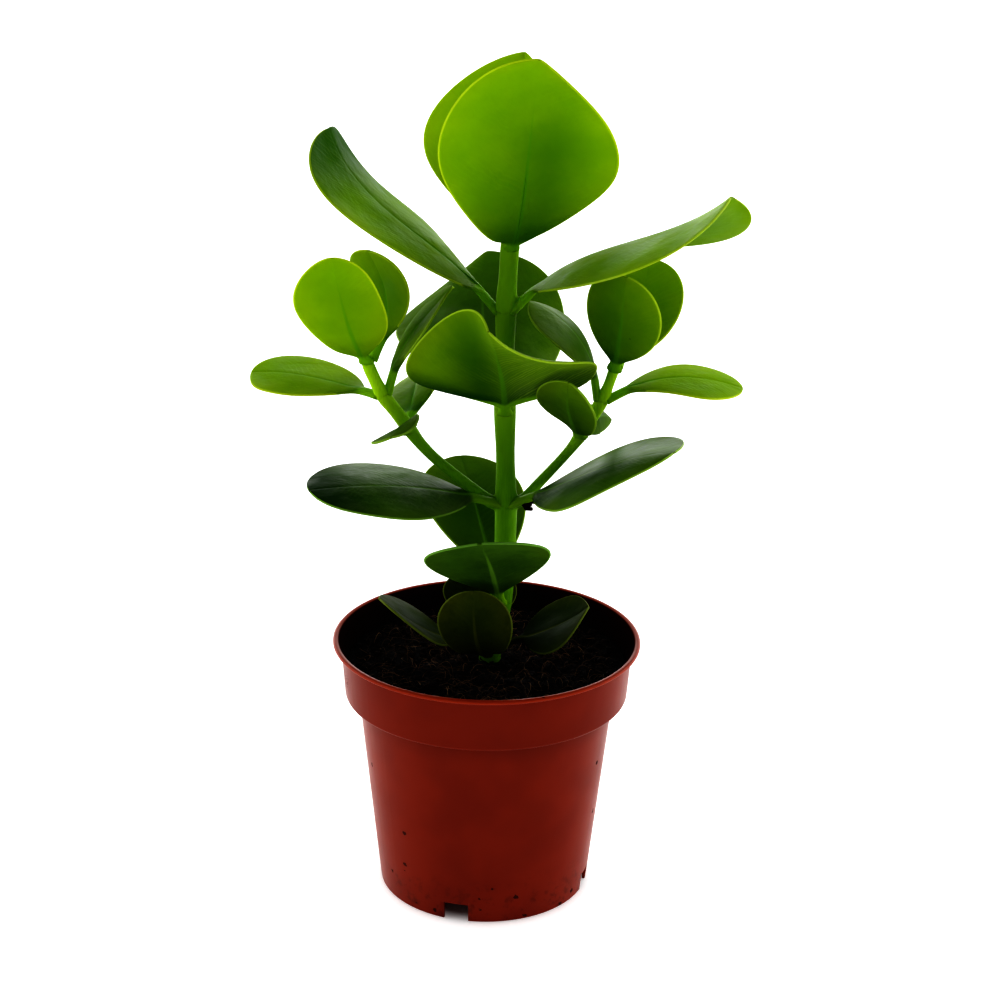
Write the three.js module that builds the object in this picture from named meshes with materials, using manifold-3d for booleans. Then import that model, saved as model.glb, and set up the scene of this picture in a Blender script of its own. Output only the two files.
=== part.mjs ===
// Potted clusia: a young clusia in a terracotta-coloured plastic nursery pot.
// Millimetres, +Z up. The origin is the centre of the pot's foot, on the ground; -Y is the front.
import * as THREE from 'three';
import { mergeVertices } from 'three/addons/utils/BufferGeometryUtils.js';
import Module from 'manifold-3d';

// ---- driving dimensions ------------------------------------------------------------------------
const GAP = 0.3;                 // clearance between pieces that touch
const WALL = 1.2;                // pot wall
const POT_HEIGHT = 103.3;
const RIM_RADIUS = 60;           // widest point of the rolled rim: a 12 cm pot
const COLLAR_TOP_RADIUS = 56.8;
const COLLAR_FOOT_RADIUS = 55.3;
const COLLAR_FOOT = 81;          // height of the collar's lower edge
const BODY_TOP_RADIUS = 50;
const FOOT_RADIUS = 41.3;
const FLOOR_UNDER = 7.6;         // underside of the raised floor
const FLOOR_THICK = 1.4;
const NOTCH_WIDTH = 9.9;
const NOTCH_COUNT = 4;
const NOTCH_BEARING = -104.5;      // first drain notch, degrees from +X
const DRAIN_HOLES = 8;
const DRAIN_RADIUS = 3.2;
const DRAIN_CIRCLE = 29;
const SOIL_LEVEL = 93;
const SOIL_WAVE = 0.9;           // half height of the lumps in the soil surface
const ROOT_DEPTH = 34;           // how far the stem stands in the soil
const AROUND = 44;               // sides of everything turned about the pot's axis

const BLADE_HALF_THICK = 0.45;
const KEEL = 0.9;                // how far the midrib stands out below the blade
const PETIOLE_HALF_WIDE = 2.3;
const PETIOLE_HALF_THICK = 1.5;
const BLADE_END = 0.996;         // fraction of the blade where the tip is closed
const COLUMNS = [-1, -0.64, -0.26, 0, 0.26, 0.64, 1];

// Shoots: the nodes along each stem as [x, z, radius], from the root or the fork to the growing tip.
const SHOOTS = {
  main: [
    [1.2, SOIL_LEVEL - ROOT_DEPTH, 4.0], [1.4, 97, 4.4], [3.2, 107, 4.3], [5.3, 119, 4.4],
    [6.4, 138, 4.1], [6.6, 158, 4.3], [6.1, 177, 3.6], [5.6, 197, 4.2], [5.4, 216, 3.5],
    [5.4, 235, 4.0], [5.9, 248, 3.5], [6.5, 261, 3.4], [6.5, 266, 1.4],
  ],
  left: [
    [6, 157.5, 2.6], [-0.2, 160, 2.5], [-9.5, 167.2, 2.2], [-15.7, 172.3, 2.1], [-21.6, 177.5, 2.1],
    [-26.8, 183.2, 2.3], [-31, 189, 2.8], [-35.6, 195.2, 2.6], [-40.2, 201.2, 2.8],
    [-43.2, 207, 2.4], [-46, 213.5, 2.3], [-46.8, 217, 0.9],
  ],
  right: [
    [7, 157.5, 2.5], [13.1, 160.6, 2.2], [19.4, 167.7, 2.0], [25.7, 175, 1.9], [31, 181.6, 2.0],
    [34.8, 187.4, 2.6], [38.2, 193.4, 2.4], [42, 200.6, 2.6], [44.4, 207, 2.0],
    [46.4, 213.5, 2.0], [47.2, 216.8, 0.9],
  ],
};

// Leaves: opposite pairs, each pair turned a quarter from the last. `at` is the node's [x, z],
// `bearing` the heading from +X in degrees, `rise` the climb at the stem. `arch` is what the climb
// gains by the tip, `bend` what it gains half way only; `swing`, `roll` and `twist` turn the heading
// and the blade. For the [left, right] halves, `fold` and `curl` raise them, all along and towards the
// tip, `cup` bends them towards the margin, `base` and `end` shape the outline, and `sway` makes it
// wave. `sunk` is how far from the stem's axis the stalk starts and `stout` how thick it is.
const PLAIN_LEAF = {
  bearing: 0, rise: 30, arch: 0, bend: 0, swing: 0, roll: 0, twist: 0, fold: [6, 6], curl: [0, 0],
  cup: [-10, -10], petiole: 11, base: [0.87, 0.87], end: [0.52, 0.52], sway: [[0, 0], [0, 0]],
  sunk: 2.8, stout: 1, stations: 8,
};
const PLAIN_SOIL_LEAF = { ...PLAIN_LEAF, stout: 0.75, stations: 6 };
const PLAIN_SIDE_LEAF = { ...PLAIN_LEAF, petiole: 8, sunk: 1.7, stout: 0.95, stations: 6 };

const SOIL_LEAVES = {
  leaf_soil_front: {
    at: [1.4, 96.5], bearing: -103, rise: 28, arch: 64, bend: 8, swing: -7, roll: -11, twist: 14,
    length: 47, width: 29, petiole: 10.5, fold: [-8, 8], curl: [58, -9], cup: [-12, -34],
    base: [0.74, 0.74], end: [0.56, 0.52], sway: [[0, -0.02], [-0.04, -0.04]],
  },
  leaf_soil_back: { at: [1.4, 98], bearing: 100, rise: 25, arch: 28, length: 37, width: 30 },
  leaf_soil_left: {
    at: [1.6, 100], bearing: 195, rise: 15, arch: 26, bend: 8, swing: -7, roll: 3, twist: -9,
    length: 48, width: 40, petiole: 12.5, fold: [9, 5], curl: [0, -4], cup: [-5, -4],
    base: [0.76, 0.86], end: [0.42, 0.7], sway: [[-0.08, 0.16], [0.06, 0.02]],
  },
  leaf_soil_right: {
    at: [2.4, 100], bearing: -5, rise: 19, arch: 23, bend: -1, roll: -11, twist: 10, length: 39,
    width: 36, petiole: 9.5, fold: [-1, 6], curl: [21, 9], cup: [3, -21], base: [0.54, 0.72],
    end: [0.58, 0.74], sway: [[0, 0.04], [0, -0.02]],
  },
};

const MAIN_LEAVES = {
  leaf_low_front: {
    at: [5.3, 118], bearing: -98, rise: 47, arch: -18, swing: 1, roll: -11, twist: 3, length: 75,
    width: 47, fold: [5, 5], curl: [0, -4], cup: [-13, -8], end: [0.52, 0.48],
    sway: [[0, 0], [0, 0.02]],
  },
  leaf_low_back: {
    at: [5.3, 119], bearing: 105, rise: 33, arch: -9, twist: -5, length: 74, width: 42,
    fold: [11, 12], curl: [-11, -3],
  },
  leaf_mid_left: {
    at: [6.6, 159], bearing: 200, rise: 19, arch: -22, swing: -3, roll: 8, twist: -13, length: 76,
    width: 59, fold: [-1, 3], curl: [-1, 0], end: [0.54, 0.48],
    sway: [[-0.08, 0.02, -0.02], [0, -0.02, 0.02]],
  },
  leaf_mid_right: {
    at: [6.6, 159], bearing: -32, rise: 29, arch: -17, bend: 8, swing: 6, roll: -12, twist: 11,
    length: 75, width: 60, fold: [-4, 2], curl: [-3, 0], cup: [4, -11], base: [0.9, 0.84],
    end: [0.46, 0.58], sway: [[0.02, 0.04, -0.02], [0.08, -0.02, -0.04]],
  },
  leaf_high_front: {
    at: [5.6, 196], bearing: -91, rise: 34, arch: -1, bend: 4, swing: -9, twist: -33, length: 90,
    width: 66, petiole: 13, fold: [16, 4], curl: [-85, 89], cup: [-8, 12], base: [0.18, 0.24],
    end: [0.78, 0.62], sway: [[0.1, 0], [0.04, 0.06]],
  },
  leaf_high_back: {
    at: [5.6, 197], bearing: 106, rise: 30, arch: 10, bend: -10, swing: -24, roll: -11, twist: 12,
    length: 86, width: 69, petiole: 10, fold: [6, -5], curl: [-32, 15], cup: [-21, -26],
    base: [0.64, 0.56], end: [0.76, 0.42],
  },
  leaf_upper_left: {
    at: [5.4, 234], bearing: 164, rise: 46, arch: 26, bend: -25, swing: -10, roll: -4, twist: -10,
    length: 95, width: 73, fold: [0, 8], curl: [-3, -9], cup: [-5, -22], base: [0.76, 1.1],
    end: [0.46, 0.3], sway: [[-0.08, -0.02, 0.02], [0.08, 0.04, -0.1]],
  },
  leaf_upper_right: {
    at: [5.4, 235], bearing: -21, rise: 49, arch: -6, bend: -24, swing: 2, roll: -7, twist: 18,
    length: 97, width: 68, fold: [-4, -2], curl: [-13, -9], cup: [-16, -17], base: [0.82, 0.86],
    end: [0.42, 0.5], sway: [[-0.12, 0], [0.02, 0.02]],
  },
  leaf_top_front: {
    at: [6.5, 259.6], bearing: -81, rise: 35, arch: 20, bend: 17, roll: 5, twist: 17, length: 96,
    width: 62, petiole: 4.5, fold: [18, -11], curl: [-22, 9], cup: [-20, -26], base: [0.88, 0.88],
    end: [0.72, 0.58], sway: [[0, -0.04, -0.03, -0.02], [0, -0.06, -0.04, 0]],
  },
  leaf_top_back: {
    at: [6.5, 260], bearing: 94, rise: 41, arch: 7, bend: -4, swing: -18, roll: -8, twist: -24,
    length: 89, width: 68, petiole: 5.5, fold: [-39, -15], cup: [-16, -30], base: [0.84, 0.66],
    end: [0.54, 0.56], sway: [[0.1, -0.12], [0.08, -0.08]],
  },
};

const SIDE_LEAVES = {
  leaf_left_low_front: {
    at: [-30.4, 188], bearing: -103, rise: 23, arch: -23, swing: 10, roll: -34, twist: -15,
    length: 33, width: 21, petiole: 6.5, curl: [-45, 16], cup: [0, 0], base: [0.86, 0.58],
    end: [0.54, 0.46], sway: [[0, 0], [0.02, 0.08]],
  },
  leaf_left_low_back: {
    at: [-30.4, 189], bearing: 88, rise: 24, arch: -25, swing: -5, roll: 14, twist: 14,
    length: 41, width: 21, petiole: 6,
  },
  leaf_left_mid_left: {
    at: [-40.2, 200.8], bearing: 146, rise: 3, arch: -10, bend: 6, swing: 30, length: 55,
    width: 40, fold: [0, 3], curl: [0, 7], cup: [-14, -6], end: [0.46, 0.52],
    sway: [[-0.08, 0.02, -0.02], [-0.02, 0, 0]],
  },
  leaf_left_mid_right: {
    at: [-40.2, 202], bearing: 21, rise: 74, arch: -26, bend: -10, swing: -10, length: 48,
    width: 32, fold: [0, 9], curl: [6, 13], cup: [-22, -6], base: [0.76, 0.96],
  },
  leaf_left_top_front: {
    at: [-46, 215], bearing: -101, rise: 34, arch: 37, bend: 4, swing: -12, roll: -7, twist: -3,
    length: 63, width: 32, fold: [8, 3], cup: [-7, -17], base: [0.84, 0.64],
    sway: [[-0.04, 0.08], [0.04, -0.12]],
  },
  leaf_left_top_back: {
    at: [-46, 215], bearing: 27, rise: 62, arch: 59, bend: 10, roll: -9, length: 45, width: 37,
    fold: [9, 6], base: [1.0, 1.0], end: [0.48, 0.38],
  },
  leaf_right_low_front: {
    at: [34.6, 187], bearing: -107, rise: 40, arch: 11, bend: -6, swing: 17, roll: 18, twist: -2,
    length: 49, width: 25, petiole: 4.5, fold: [1, 0], curl: [-10, 23], cup: [-18, -13],
    base: [0.56, 1.1], end: [0.46, 0.76], sway: [[-0.05, -0.05], [0.07, 0.05]],
  },
  leaf_right_low_back: {
    at: [34.8, 187.5], bearing: 74, rise: 6, arch: -35, swing: -4, roll: -53, twist: 3,
    length: 42, width: 14, petiole: 2, fold: [-13, -23], curl: [4, -15], cup: [-12, -13],
    base: [0.86, 0.74], end: [0.5, 0.62], sway: [[0, 0], [-0.06, 0.02]],
  },
  leaf_right_mid_right: {
    at: [42, 200.6], bearing: 12, rise: 25, arch: -44, bend: -4, swing: -15, length: 54,
    width: 38, fold: [3, 3], cup: [-9, -10], base: [0.92, 0.88], end: [0.5, 0.56],
    sway: [[-0.04, -0.02, -0.04], [0.12, -0.08, -0.02]],
  },
  leaf_right_mid_left: {
    at: [42, 201], bearing: 170, rise: 81, arch: -63, bend: -2, twist: -3, length: 48, width: 40,
    fold: [0, 2], curl: [-5, -7], cup: [-13, -17],
  },
  leaf_right_top_front: {
    at: [46.2, 213.5], bearing: -88, rise: 38, arch: 21, bend: 4, roll: 19, twist: 21, length: 61,
    width: 30, fold: [8, 6], curl: [16, 4], cup: [-17, -10],
  },
  leaf_right_top_back: {
    at: [46.2, 213.5], bearing: 71, rise: 9, arch: 43, bend: 9, swing: 4, roll: -9, twist: 7,
    length: 58, width: 32, fold: [7, 4], cup: [-14, -10], end: [0.62, 0.46],
  },
};

// ---- materials ---------------------------------------------------------------------------------
const paint = (color, roughness) => new THREE.MeshStandardMaterial({ color, roughness, metalness: 0 });
const potPlastic = () => paint(0x8c2f1a, 0.35);
const darkSoil = () => paint(0x1c120d, 0.95);
const greenStem = () => paint(0x4d8a12, 0.45);
const oldLeaf = () => paint(0x1f4a14, 0.4);
const youngLeaf = () => paint(0x5d9a12, 0.4);

// ---- closed meshes -----------------------------------------------------------------------------
const radians = THREE.MathUtils.degToRad;
const lerp = THREE.MathUtils.lerp;

/** Six times the volume inside a mesh: positive where its faces point out. */
function signedVolume(points, faces) {
  let sum = 0;
  for (const [a, b, c] of faces) {
    sum += points[a].dot(new THREE.Vector3().crossVectors(points[b], points[c]));
  }
  return sum;
}

/** A closed body through rings of equal count, each end closed by a strip from side to side.
 *  The rings' second half is the underside, whose squares are split along the same diagonals. */
function loft(rings) {
  const count = rings[0].length;
  const half = count / 2;
  const points = rings.flat();
  const faces = [];
  for (let ring = 0; ring < rings.length - 1; ring += 1) {
    for (let k = 0; k < count; k += 1) {
      const a = ring * count + k;
      const b = ring * count + (k + 1) % count;
      if (k < half) {
        faces.push([a, b, b + count], [a, b + count, a + count]);
      } else {
        faces.push([a, b, a + count], [b, b + count, a + count]);
      }
    }
  }
  const last = (rings.length - 1) * count;
  for (let k = 0; k < half - 1; k += 1) {
    const across = count - 1 - k;
    faces.push([k, across, across - 1], [k, across - 1, k + 1]);
    faces.push([last + k, last + across - 1, last + across], [last + k, last + k + 1, last + across - 1]);
  }
  const outward = signedVolume(points, faces) > 0;
  const geometry = new THREE.BufferGeometry().setFromPoints(points);
  geometry.setIndex(faces.flatMap(([a, b, c]) => (outward ? [a, b, c] : [a, c, b])));
  return geometry;
}

const wasm = await Module();
wasm.setup();

/** The solid for joining and cutting that a closed geometry bounds. */
function solidOf(geometry) {
  const plain = geometry.clone();
  plain.deleteAttribute('normal');
  plain.deleteAttribute('uv');
  const merged = mergeVertices(plain, 1e-4);
  const mesh = new wasm.Mesh({
    numProp: 3,
    vertProperties: merged.attributes.position.array,
    triVerts: new Uint32Array(merged.index.array),
  });
  return new wasm.Manifold(mesh);
}

/** The geometry of a solid after its joins and cuts. */
function geometryOf(solid) {
  const mesh = solid.getMesh();
  const geometry = new THREE.BufferGeometry();
  geometry.setAttribute('position', new THREE.BufferAttribute(mesh.vertProperties, 3));
  geometry.setIndex(new THREE.BufferAttribute(mesh.triVerts, 1));
  return geometry;
}

/** The largest of the separate bodies that a cut leaves. */
function largestBody(solid) {
  return solid.decompose().reduce((best, body) => (body.volume() > best.volume() ? body : best));
}

// ---- pot and soil ------------------------------------------------------------------------------
/** Closed body turned about Z from [radius, height] points that start and end on the axis. */
function turned(profile) {
  const points = profile.map(([radius, height]) => new THREE.Vector2(radius, height));
  return new THREE.LatheGeometry(points, AROUND).rotateX(Math.PI / 2);
}

/** Outside radius of the pot's body below the collar. */
function bodyRadius(height) {
  return lerp(FOOT_RADIUS, BODY_TOP_RADIUS, height / (COLLAR_FOOT - 0.8));
}

function potGeometry() {
  const floorTop = FLOOR_UNDER + FLOOR_THICK;
  const profile = [
    [0, FLOOR_UNDER], [FOOT_RADIUS - WALL - 0.2, FLOOR_UNDER], [FOOT_RADIUS - WALL, 0.25],
    [FOOT_RADIUS - WALL + 0.25, 0], [FOOT_RADIUS - 0.35, 0], [FOOT_RADIUS, 0.4],
    [bodyRadius(COLLAR_FOOT - 0.8), COLLAR_FOOT - 0.8], [COLLAR_FOOT_RADIUS - 0.5, COLLAR_FOOT - 0.4],
    [COLLAR_FOOT_RADIUS, COLLAR_FOOT + 0.3], [COLLAR_TOP_RADIUS, 100.4],
    [COLLAR_TOP_RADIUS + 1, 101.2], [RIM_RADIUS - 0.7, 101.5], [RIM_RADIUS, 102.1],
    [RIM_RADIUS - 0.1, 102.9], [RIM_RADIUS - 0.8, POT_HEIGHT], [RIM_RADIUS - 2, POT_HEIGHT - 0.2],
    [COLLAR_TOP_RADIUS + 0.2, 102.2], [COLLAR_TOP_RADIUS - WALL, 100.6],
    [COLLAR_FOOT_RADIUS - WALL, COLLAR_FOOT + 1.4],
    [BODY_TOP_RADIUS - WALL, COLLAR_FOOT + 0.4], [bodyRadius(floorTop + 1) - WALL, floorTop + 1],
    [bodyRadius(floorTop) - WALL - 1, floorTop], [0, floorTop],
  ];
  let pot = solidOf(turned(profile));
  for (let i = 0; i < NOTCH_COUNT; i += 1) {
    const bearing = radians(NOTCH_BEARING + i * 360 / NOTCH_COUNT);
    const notch = new THREE.BoxGeometry(12, NOTCH_WIDTH, 2 * FLOOR_UNDER);
    notch.translate(FOOT_RADIUS, 0, 0).rotateZ(bearing);
    pot = pot.subtract(solidOf(notch));
  }
  for (let i = 0; i < DRAIN_HOLES; i += 1) {
    const hole = new THREE.CylinderGeometry(DRAIN_RADIUS, DRAIN_RADIUS, 10, 8).rotateX(Math.PI / 2);
    hole.translate(DRAIN_CIRCLE, 0, FLOOR_UNDER).rotateZ(radians(NOTCH_BEARING + i * 360 / DRAIN_HOLES));
    pot = pot.subtract(solidOf(hole));
  }
  return geometryOf(pot);
}

/** Height of the soil's lumpy surface above its level, at a radius and bearing. */
function soilLump(radius, bearing) {
  const fade = Math.min(1, (54 - radius) / 10) * Math.min(1, radius / 12);
  const lumps = Math.sin(3 * bearing + radius / 7) + Math.sin(5 * bearing - radius / 4 + 1);
  return SOIL_WAVE * 0.7 * fade * lumps + 0.9 * (1 - radius / 54);
}

function soilGeometry() {
  const bottom = FLOOR_UNDER + FLOOR_THICK + GAP;
  const edge = COLLAR_FOOT_RADIUS - WALL + 0.55 - GAP;
  const profile = [
    [0, bottom], [bodyRadius(bottom) - WALL - 1.4, bottom], [bodyRadius(bottom + 1) - WALL - GAP, bottom + 1],
    [BODY_TOP_RADIUS - WALL - GAP - 0.1, COLLAR_FOOT + 0.9],
    [COLLAR_FOOT_RADIUS - WALL - GAP, COLLAR_FOOT + 1.7], [edge, SOIL_LEVEL - 0.4],
    [48, SOIL_LEVEL], [36, SOIL_LEVEL], [24, SOIL_LEVEL], [12, SOIL_LEVEL],
    [0, SOIL_LEVEL],
  ];
  const geometry = turned(profile);
  const position = geometry.attributes.position;
  for (let i = 0; i < position.count; i += 1) {
    if (position.getZ(i) > SOIL_LEVEL - 0.1) {
      const radius = Math.hypot(position.getX(i), position.getY(i));
      const bearing = Math.atan2(position.getY(i), position.getX(i));
      position.setZ(i, SOIL_LEVEL + soilLump(radius, bearing));
    }
  }
  const [rootX, rootZ, rootRadius] = SHOOTS.main[0];
  const holeRadius = rootRadius + 1;
  const hole = new THREE.CylinderGeometry(holeRadius, holeRadius, 80, 24).rotateX(Math.PI / 2);
  hole.translate(rootX, 0, rootZ - GAP + 40);
  return geometryOf(solidOf(geometry).subtract(solidOf(hole)));
}

// ---- stem --------------------------------------------------------------------------------------
/** A tube through [x, z, radius] stations in the plane Y = 0, `grown` wider all round. */
function shootSolid(stations, sides, grown) {
  const route = new THREE.CatmullRomCurve3(stations.map(([x, z]) => new THREE.Vector3(x, 0, z)));
  const acrossY = new THREE.Vector3(0, 1, 0);
  const steps = (stations.length - 1) * 2;
  const rings = [];
  for (let i = 0; i <= steps; i += 1) {
    const centre = route.getPoint(i / steps);
    const inPlane = new THREE.Vector3().crossVectors(route.getTangent(i / steps), acrossY);
    const station = Math.min(Math.floor(i / 2), stations.length - 2);
    const radius = lerp(stations[station][2], stations[station + 1][2], i / 2 - station) + grown;
    const ring = [];
    for (let k = 0; k < sides; k += 1) {
      const angle = 2 * Math.PI * (k + 0.5) / sides;
      ring.push(centre.clone().addScaledVector(inPlane, radius * Math.cos(angle))
        .addScaledVector(acrossY, radius * Math.sin(angle)));
    }
    rings.push(ring);
  }
  return solidOf(loft(rings));
}

/** Main stem and both side shoots, grown together. */
function stemSolid(grown) {
  return shootSolid(SHOOTS.main, 14, grown)
    .add(shootSolid(SHOOTS.left, 10, grown))
    .add(shootSolid(SHOOTS.right, 10, grown));
}

// ---- leaves ------------------------------------------------------------------------------------
/** Width of the blade's left (0) or right (1) half: t^base (1 - t)^end, scaled to the leaf's width,
 *  and swayed by sines that make 1, 2, 3... half waves along the leaf. */
function halfWidth(leaf, t, side) {
  const base = leaf.base[side];
  const end = leaf.end[side];
  const widest = base / (base + end);
  const peak = widest ** base * (1 - widest) ** end;
  const swayed = leaf.sway[side].reduce((sum, depth, k) => sum + depth * Math.sin(Math.PI * (k + 1) * t), 1);
  return leaf.width / 2 * t ** base * (1 - t) ** end / peak * swayed;
}

/** Heading of the midrib at blade fraction t, as a unit vector. */
function heading(leaf, t) {
  const climb = radians(leaf.rise + leaf.arch * t + leaf.bend * 4 * t * (1 - t));
  const bearing = radians(leaf.bearing + leaf.swing * t);
  return new THREE.Vector3(
    Math.cos(climb) * Math.cos(bearing), Math.cos(climb) * Math.sin(bearing), Math.sin(climb),
  );
}

/** Midrib point, the blade's own right and its upward normal, at distance s along the leaf. */
function midribFrame(leaf, start, s) {
  const blade = (distance) => Math.max(0, (distance - leaf.petiole) / (leaf.length - leaf.petiole));
  const point = start.clone();
  const steps = 24;
  for (let i = 0; i < steps; i += 1) {
    point.addScaledVector(heading(leaf, blade((i + 0.5) * s / steps)), s / steps);
  }
  const t = blade(s);
  const along = heading(leaf, t);
  const bearing = radians(leaf.bearing + leaf.swing * t);
  const level = new THREE.Vector3(Math.sin(bearing), -Math.cos(bearing), 0);
  const above = new THREE.Vector3().crossVectors(level, along);
  const roll = radians(leaf.roll + leaf.twist * t);
  const right = level.multiplyScalar(Math.cos(roll)).addScaledVector(above, Math.sin(roll));
  return { t, point, right, up: new THREE.Vector3().crossVectors(right, along) };
}

/** Closed outline of the leaf across its midrib: upper face left to right, underside back. */
function leafRing(leaf, start, s) {
  const { t, point, right, up } = midribFrame(leaf, start, s);
  const stalk = PETIOLE_HALF_WIDE * leaf.stout * (1 - 0.8 * t);
  const upper = [];
  const lower = [];
  for (const column of COLUMNS) {
    const side = column < 0 ? 0 : 1;
    const blade = t > 0 ? halfWidth(leaf, t, side) : 0;
    const reach = Math.hypot(blade, stalk);
    const spread = t < 0.5 ? Math.min(1, blade / 8) : 1;
    const u = Math.abs(column);
    const first = spread * radians(leaf.fold[side] + leaf.curl[side] * t * t);
    const gain = spread * radians(leaf.cup[side]) + 1e-6;
    const across = Math.sign(column) * reach * (Math.sin(first + gain * u) - Math.sin(first)) / gain;
    const height = reach * (Math.cos(first) - Math.cos(first + gain * u)) / gain;
    const tilt = first + gain * u;
    const rounded = 0.25 + PETIOLE_HALF_THICK * leaf.stout * Math.sqrt(1 - u * u);
    const thick = lerp(rounded, BLADE_HALF_THICK, spread);
    const keel = u === 0 ? spread * KEEL * leaf.stout * (1 - t) : 0;
    const place = point.clone().addScaledVector(right, across).addScaledVector(up, height);
    const normal = up.clone().multiplyScalar(Math.cos(tilt))
      .addScaledVector(right, -Math.sign(column) * Math.sin(tilt));
    upper.push(place.clone().addScaledVector(normal, thick));
    lower.push(place.clone().addScaledVector(normal, -thick - keel));
  }
  return [...upper, ...lower.reverse()];
}

/** A leaf with its stalk, seated on the stem with the clearance that `cutter` leaves. */
function leafGeometry(leaf, cutter) {
  const [nodeX, nodeZ] = leaf.at;
  const bearing = radians(leaf.bearing);
  const start = new THREE.Vector3(Math.cos(bearing), Math.sin(bearing), 0).multiplyScalar(leaf.sunk)
    .add(new THREE.Vector3(nodeX, 0, nodeZ));
  const rings = [leafRing(leaf, start, 0), leafRing(leaf, start, leaf.petiole / 2)];
  for (let i = 0; i <= leaf.stations; i += 1) {
    const t = BLADE_END * Math.sin(Math.PI / 2 * (i + 0.35) / (leaf.stations + 0.35));
    rings.push(leafRing(leaf, start, leaf.petiole + t * (leaf.length - leaf.petiole)));
  }
  return geometryOf(largestBody(solidOf(loft(rings)).subtract(cutter)));
}

// ---- the part ----------------------------------------------------------------------------------
const part = new THREE.Group();
const place = (name, geometry, material) => {
  const mesh = new THREE.Mesh(geometry, material);
  mesh.name = name;
  part.add(mesh);
};
place('pot', potGeometry(), potPlastic());
place('soil', soilGeometry(), darkSoil());
place('stem', geometryOf(stemSolid(0)), greenStem());
const stemCutter = stemSolid(GAP);
const youngNames = /top|left_mid|right_mid/;
const groups = [[PLAIN_SOIL_LEAF, SOIL_LEAVES], [PLAIN_LEAF, MAIN_LEAVES], [PLAIN_SIDE_LEAF, SIDE_LEAVES]];
for (const [plain, leaves] of groups) {
  for (const [name, own] of Object.entries(leaves)) {
    const material = youngNames.test(name) ? youngLeaf() : oldLeaf();
    place(name, leafGeometry({ ...plain, ...own }, stemCutter), material);
  }
}

export default part;
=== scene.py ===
"""A young clusia growing in a terracotta-coloured plastic nursery pot.

Metres, +Z up. The pot's foot stands on the ground round the origin, and -Y is the front.
"""
import bmesh
import bpy
import numpy as np
from mathutils import Matrix


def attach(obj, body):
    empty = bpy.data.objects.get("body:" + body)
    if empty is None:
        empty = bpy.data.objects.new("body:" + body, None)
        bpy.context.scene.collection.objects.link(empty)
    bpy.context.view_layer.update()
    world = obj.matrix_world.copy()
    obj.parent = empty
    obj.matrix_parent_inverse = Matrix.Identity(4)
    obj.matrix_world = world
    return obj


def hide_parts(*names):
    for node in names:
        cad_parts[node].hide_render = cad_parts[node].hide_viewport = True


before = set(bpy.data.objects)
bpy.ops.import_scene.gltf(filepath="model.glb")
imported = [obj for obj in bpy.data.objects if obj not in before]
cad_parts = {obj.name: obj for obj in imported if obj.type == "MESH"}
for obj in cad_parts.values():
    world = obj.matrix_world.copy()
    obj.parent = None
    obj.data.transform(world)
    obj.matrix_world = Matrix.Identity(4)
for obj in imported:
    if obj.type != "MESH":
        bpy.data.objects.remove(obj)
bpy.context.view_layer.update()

# ---- pot ---------------------------------------------------------------------------------------
# A 12 cm grower's pot, injection moulded in one shot from glossy terracotta polypropylene. It has
# a foot ring with four notches, a raised floor with eight drain holes, and a deep collar under a
# rolled rim. Potting mix has splashed and smudged its foot, and handling has scuffed its collar.
MM = 0.001                       # sizes are in millimetres, and those inside materials in metres
WELD = 1e-6                      # metres between points that are one
WALL = 1.2
FOOT_RADIUS = 41.3
BODY_TOP_RADIUS = 50.0
BODY_TOP = 80.2
FLOOR_UNDER = 7.6
FLOOR_TOP = 9.0
NOTCH_BEARING = -104.5
NOTCH_HALF_ANGLE = 6.88
NOTCH_FLANK = 0.14               # degrees taken by a notch's side wall
FOOT_EDGE = 0.25                 # how far the foot ring's inner edge is eased
DRAIN_HOLES = 8
EIGHTH = 360 / DRAIN_HOLES       # degrees of floor round each drain hole
DRAIN_RADIUS = 3.2
DRAIN_CIRCLE = 29.0
HUB_RADIUS = 15.0                # plain middle of the floor, inside the ring of drain holes
RULED_STEPS = 5                  # rings of points between a drain hole and its eighth's outline
# [radius, height] up the collar, over the rolled rim and down inside to the top of the body.
POT_RIM = [
    [54.8, 80.6], [55.3, 81.3], [56.8, 100.4], [57.8, 101.2], [59.3, 101.5], [60.0, 102.1],
    [59.9, 102.9], [59.2, 103.3], [58.0, 103.1], [57.0, 102.2], [55.6, 100.6], [54.1, 82.4],
    [48.8, 81.4],
]


def body_radius(height):
    """Outside radius of the tapered body: straight from the foot's radius to the body's top radius."""
    return FOOT_RADIUS + (BODY_TOP_RADIUS - FOOT_RADIUS) * height / BODY_TOP


def eased(corners, ease, steps):
    """Profile with every inner corner swapped for a parabola that leaves the straight `ease` before
    the corner and meets the next one `ease` after it: (1-s)^2 before + 2s(1-s) corner + s^2 after."""
    corners = np.asarray(corners, float)
    middle = corners[1:-1]
    back, ahead = corners[:-2] - middle, corners[2:] - middle
    back_length = np.linalg.norm(back, axis=1, keepdims=True)
    ahead_length = np.linalg.norm(ahead, axis=1, keepdims=True)
    reach = np.minimum(ease, 0.45 * np.minimum(back_length, ahead_length))
    first, last = middle + back / back_length * reach, middle + ahead / ahead_length * reach
    s = np.linspace(0, 1, steps)[:, None]
    arcs = (1 - s) ** 2 * first[:, None] + 2 * s * (1 - s) * middle[:, None] + s ** 2 * last[:, None]
    return np.concatenate([corners[:1], arcs.reshape(-1, 2), corners[-1:]])


def net(rows, columns, looped):
    """Corner numbers of the squares in a rows by columns net, its last column joined to its first
    if looped."""
    row = np.arange(rows - 1)[:, None] * columns
    column = np.arange(columns if looped else columns - 1)[None]
    after = (column + 1) % columns
    corners = [row + column, row + after, row + columns + after, row + columns + column]
    return np.stack(np.broadcast_arrays(*corners), -1).reshape(-1, 4)


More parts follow.
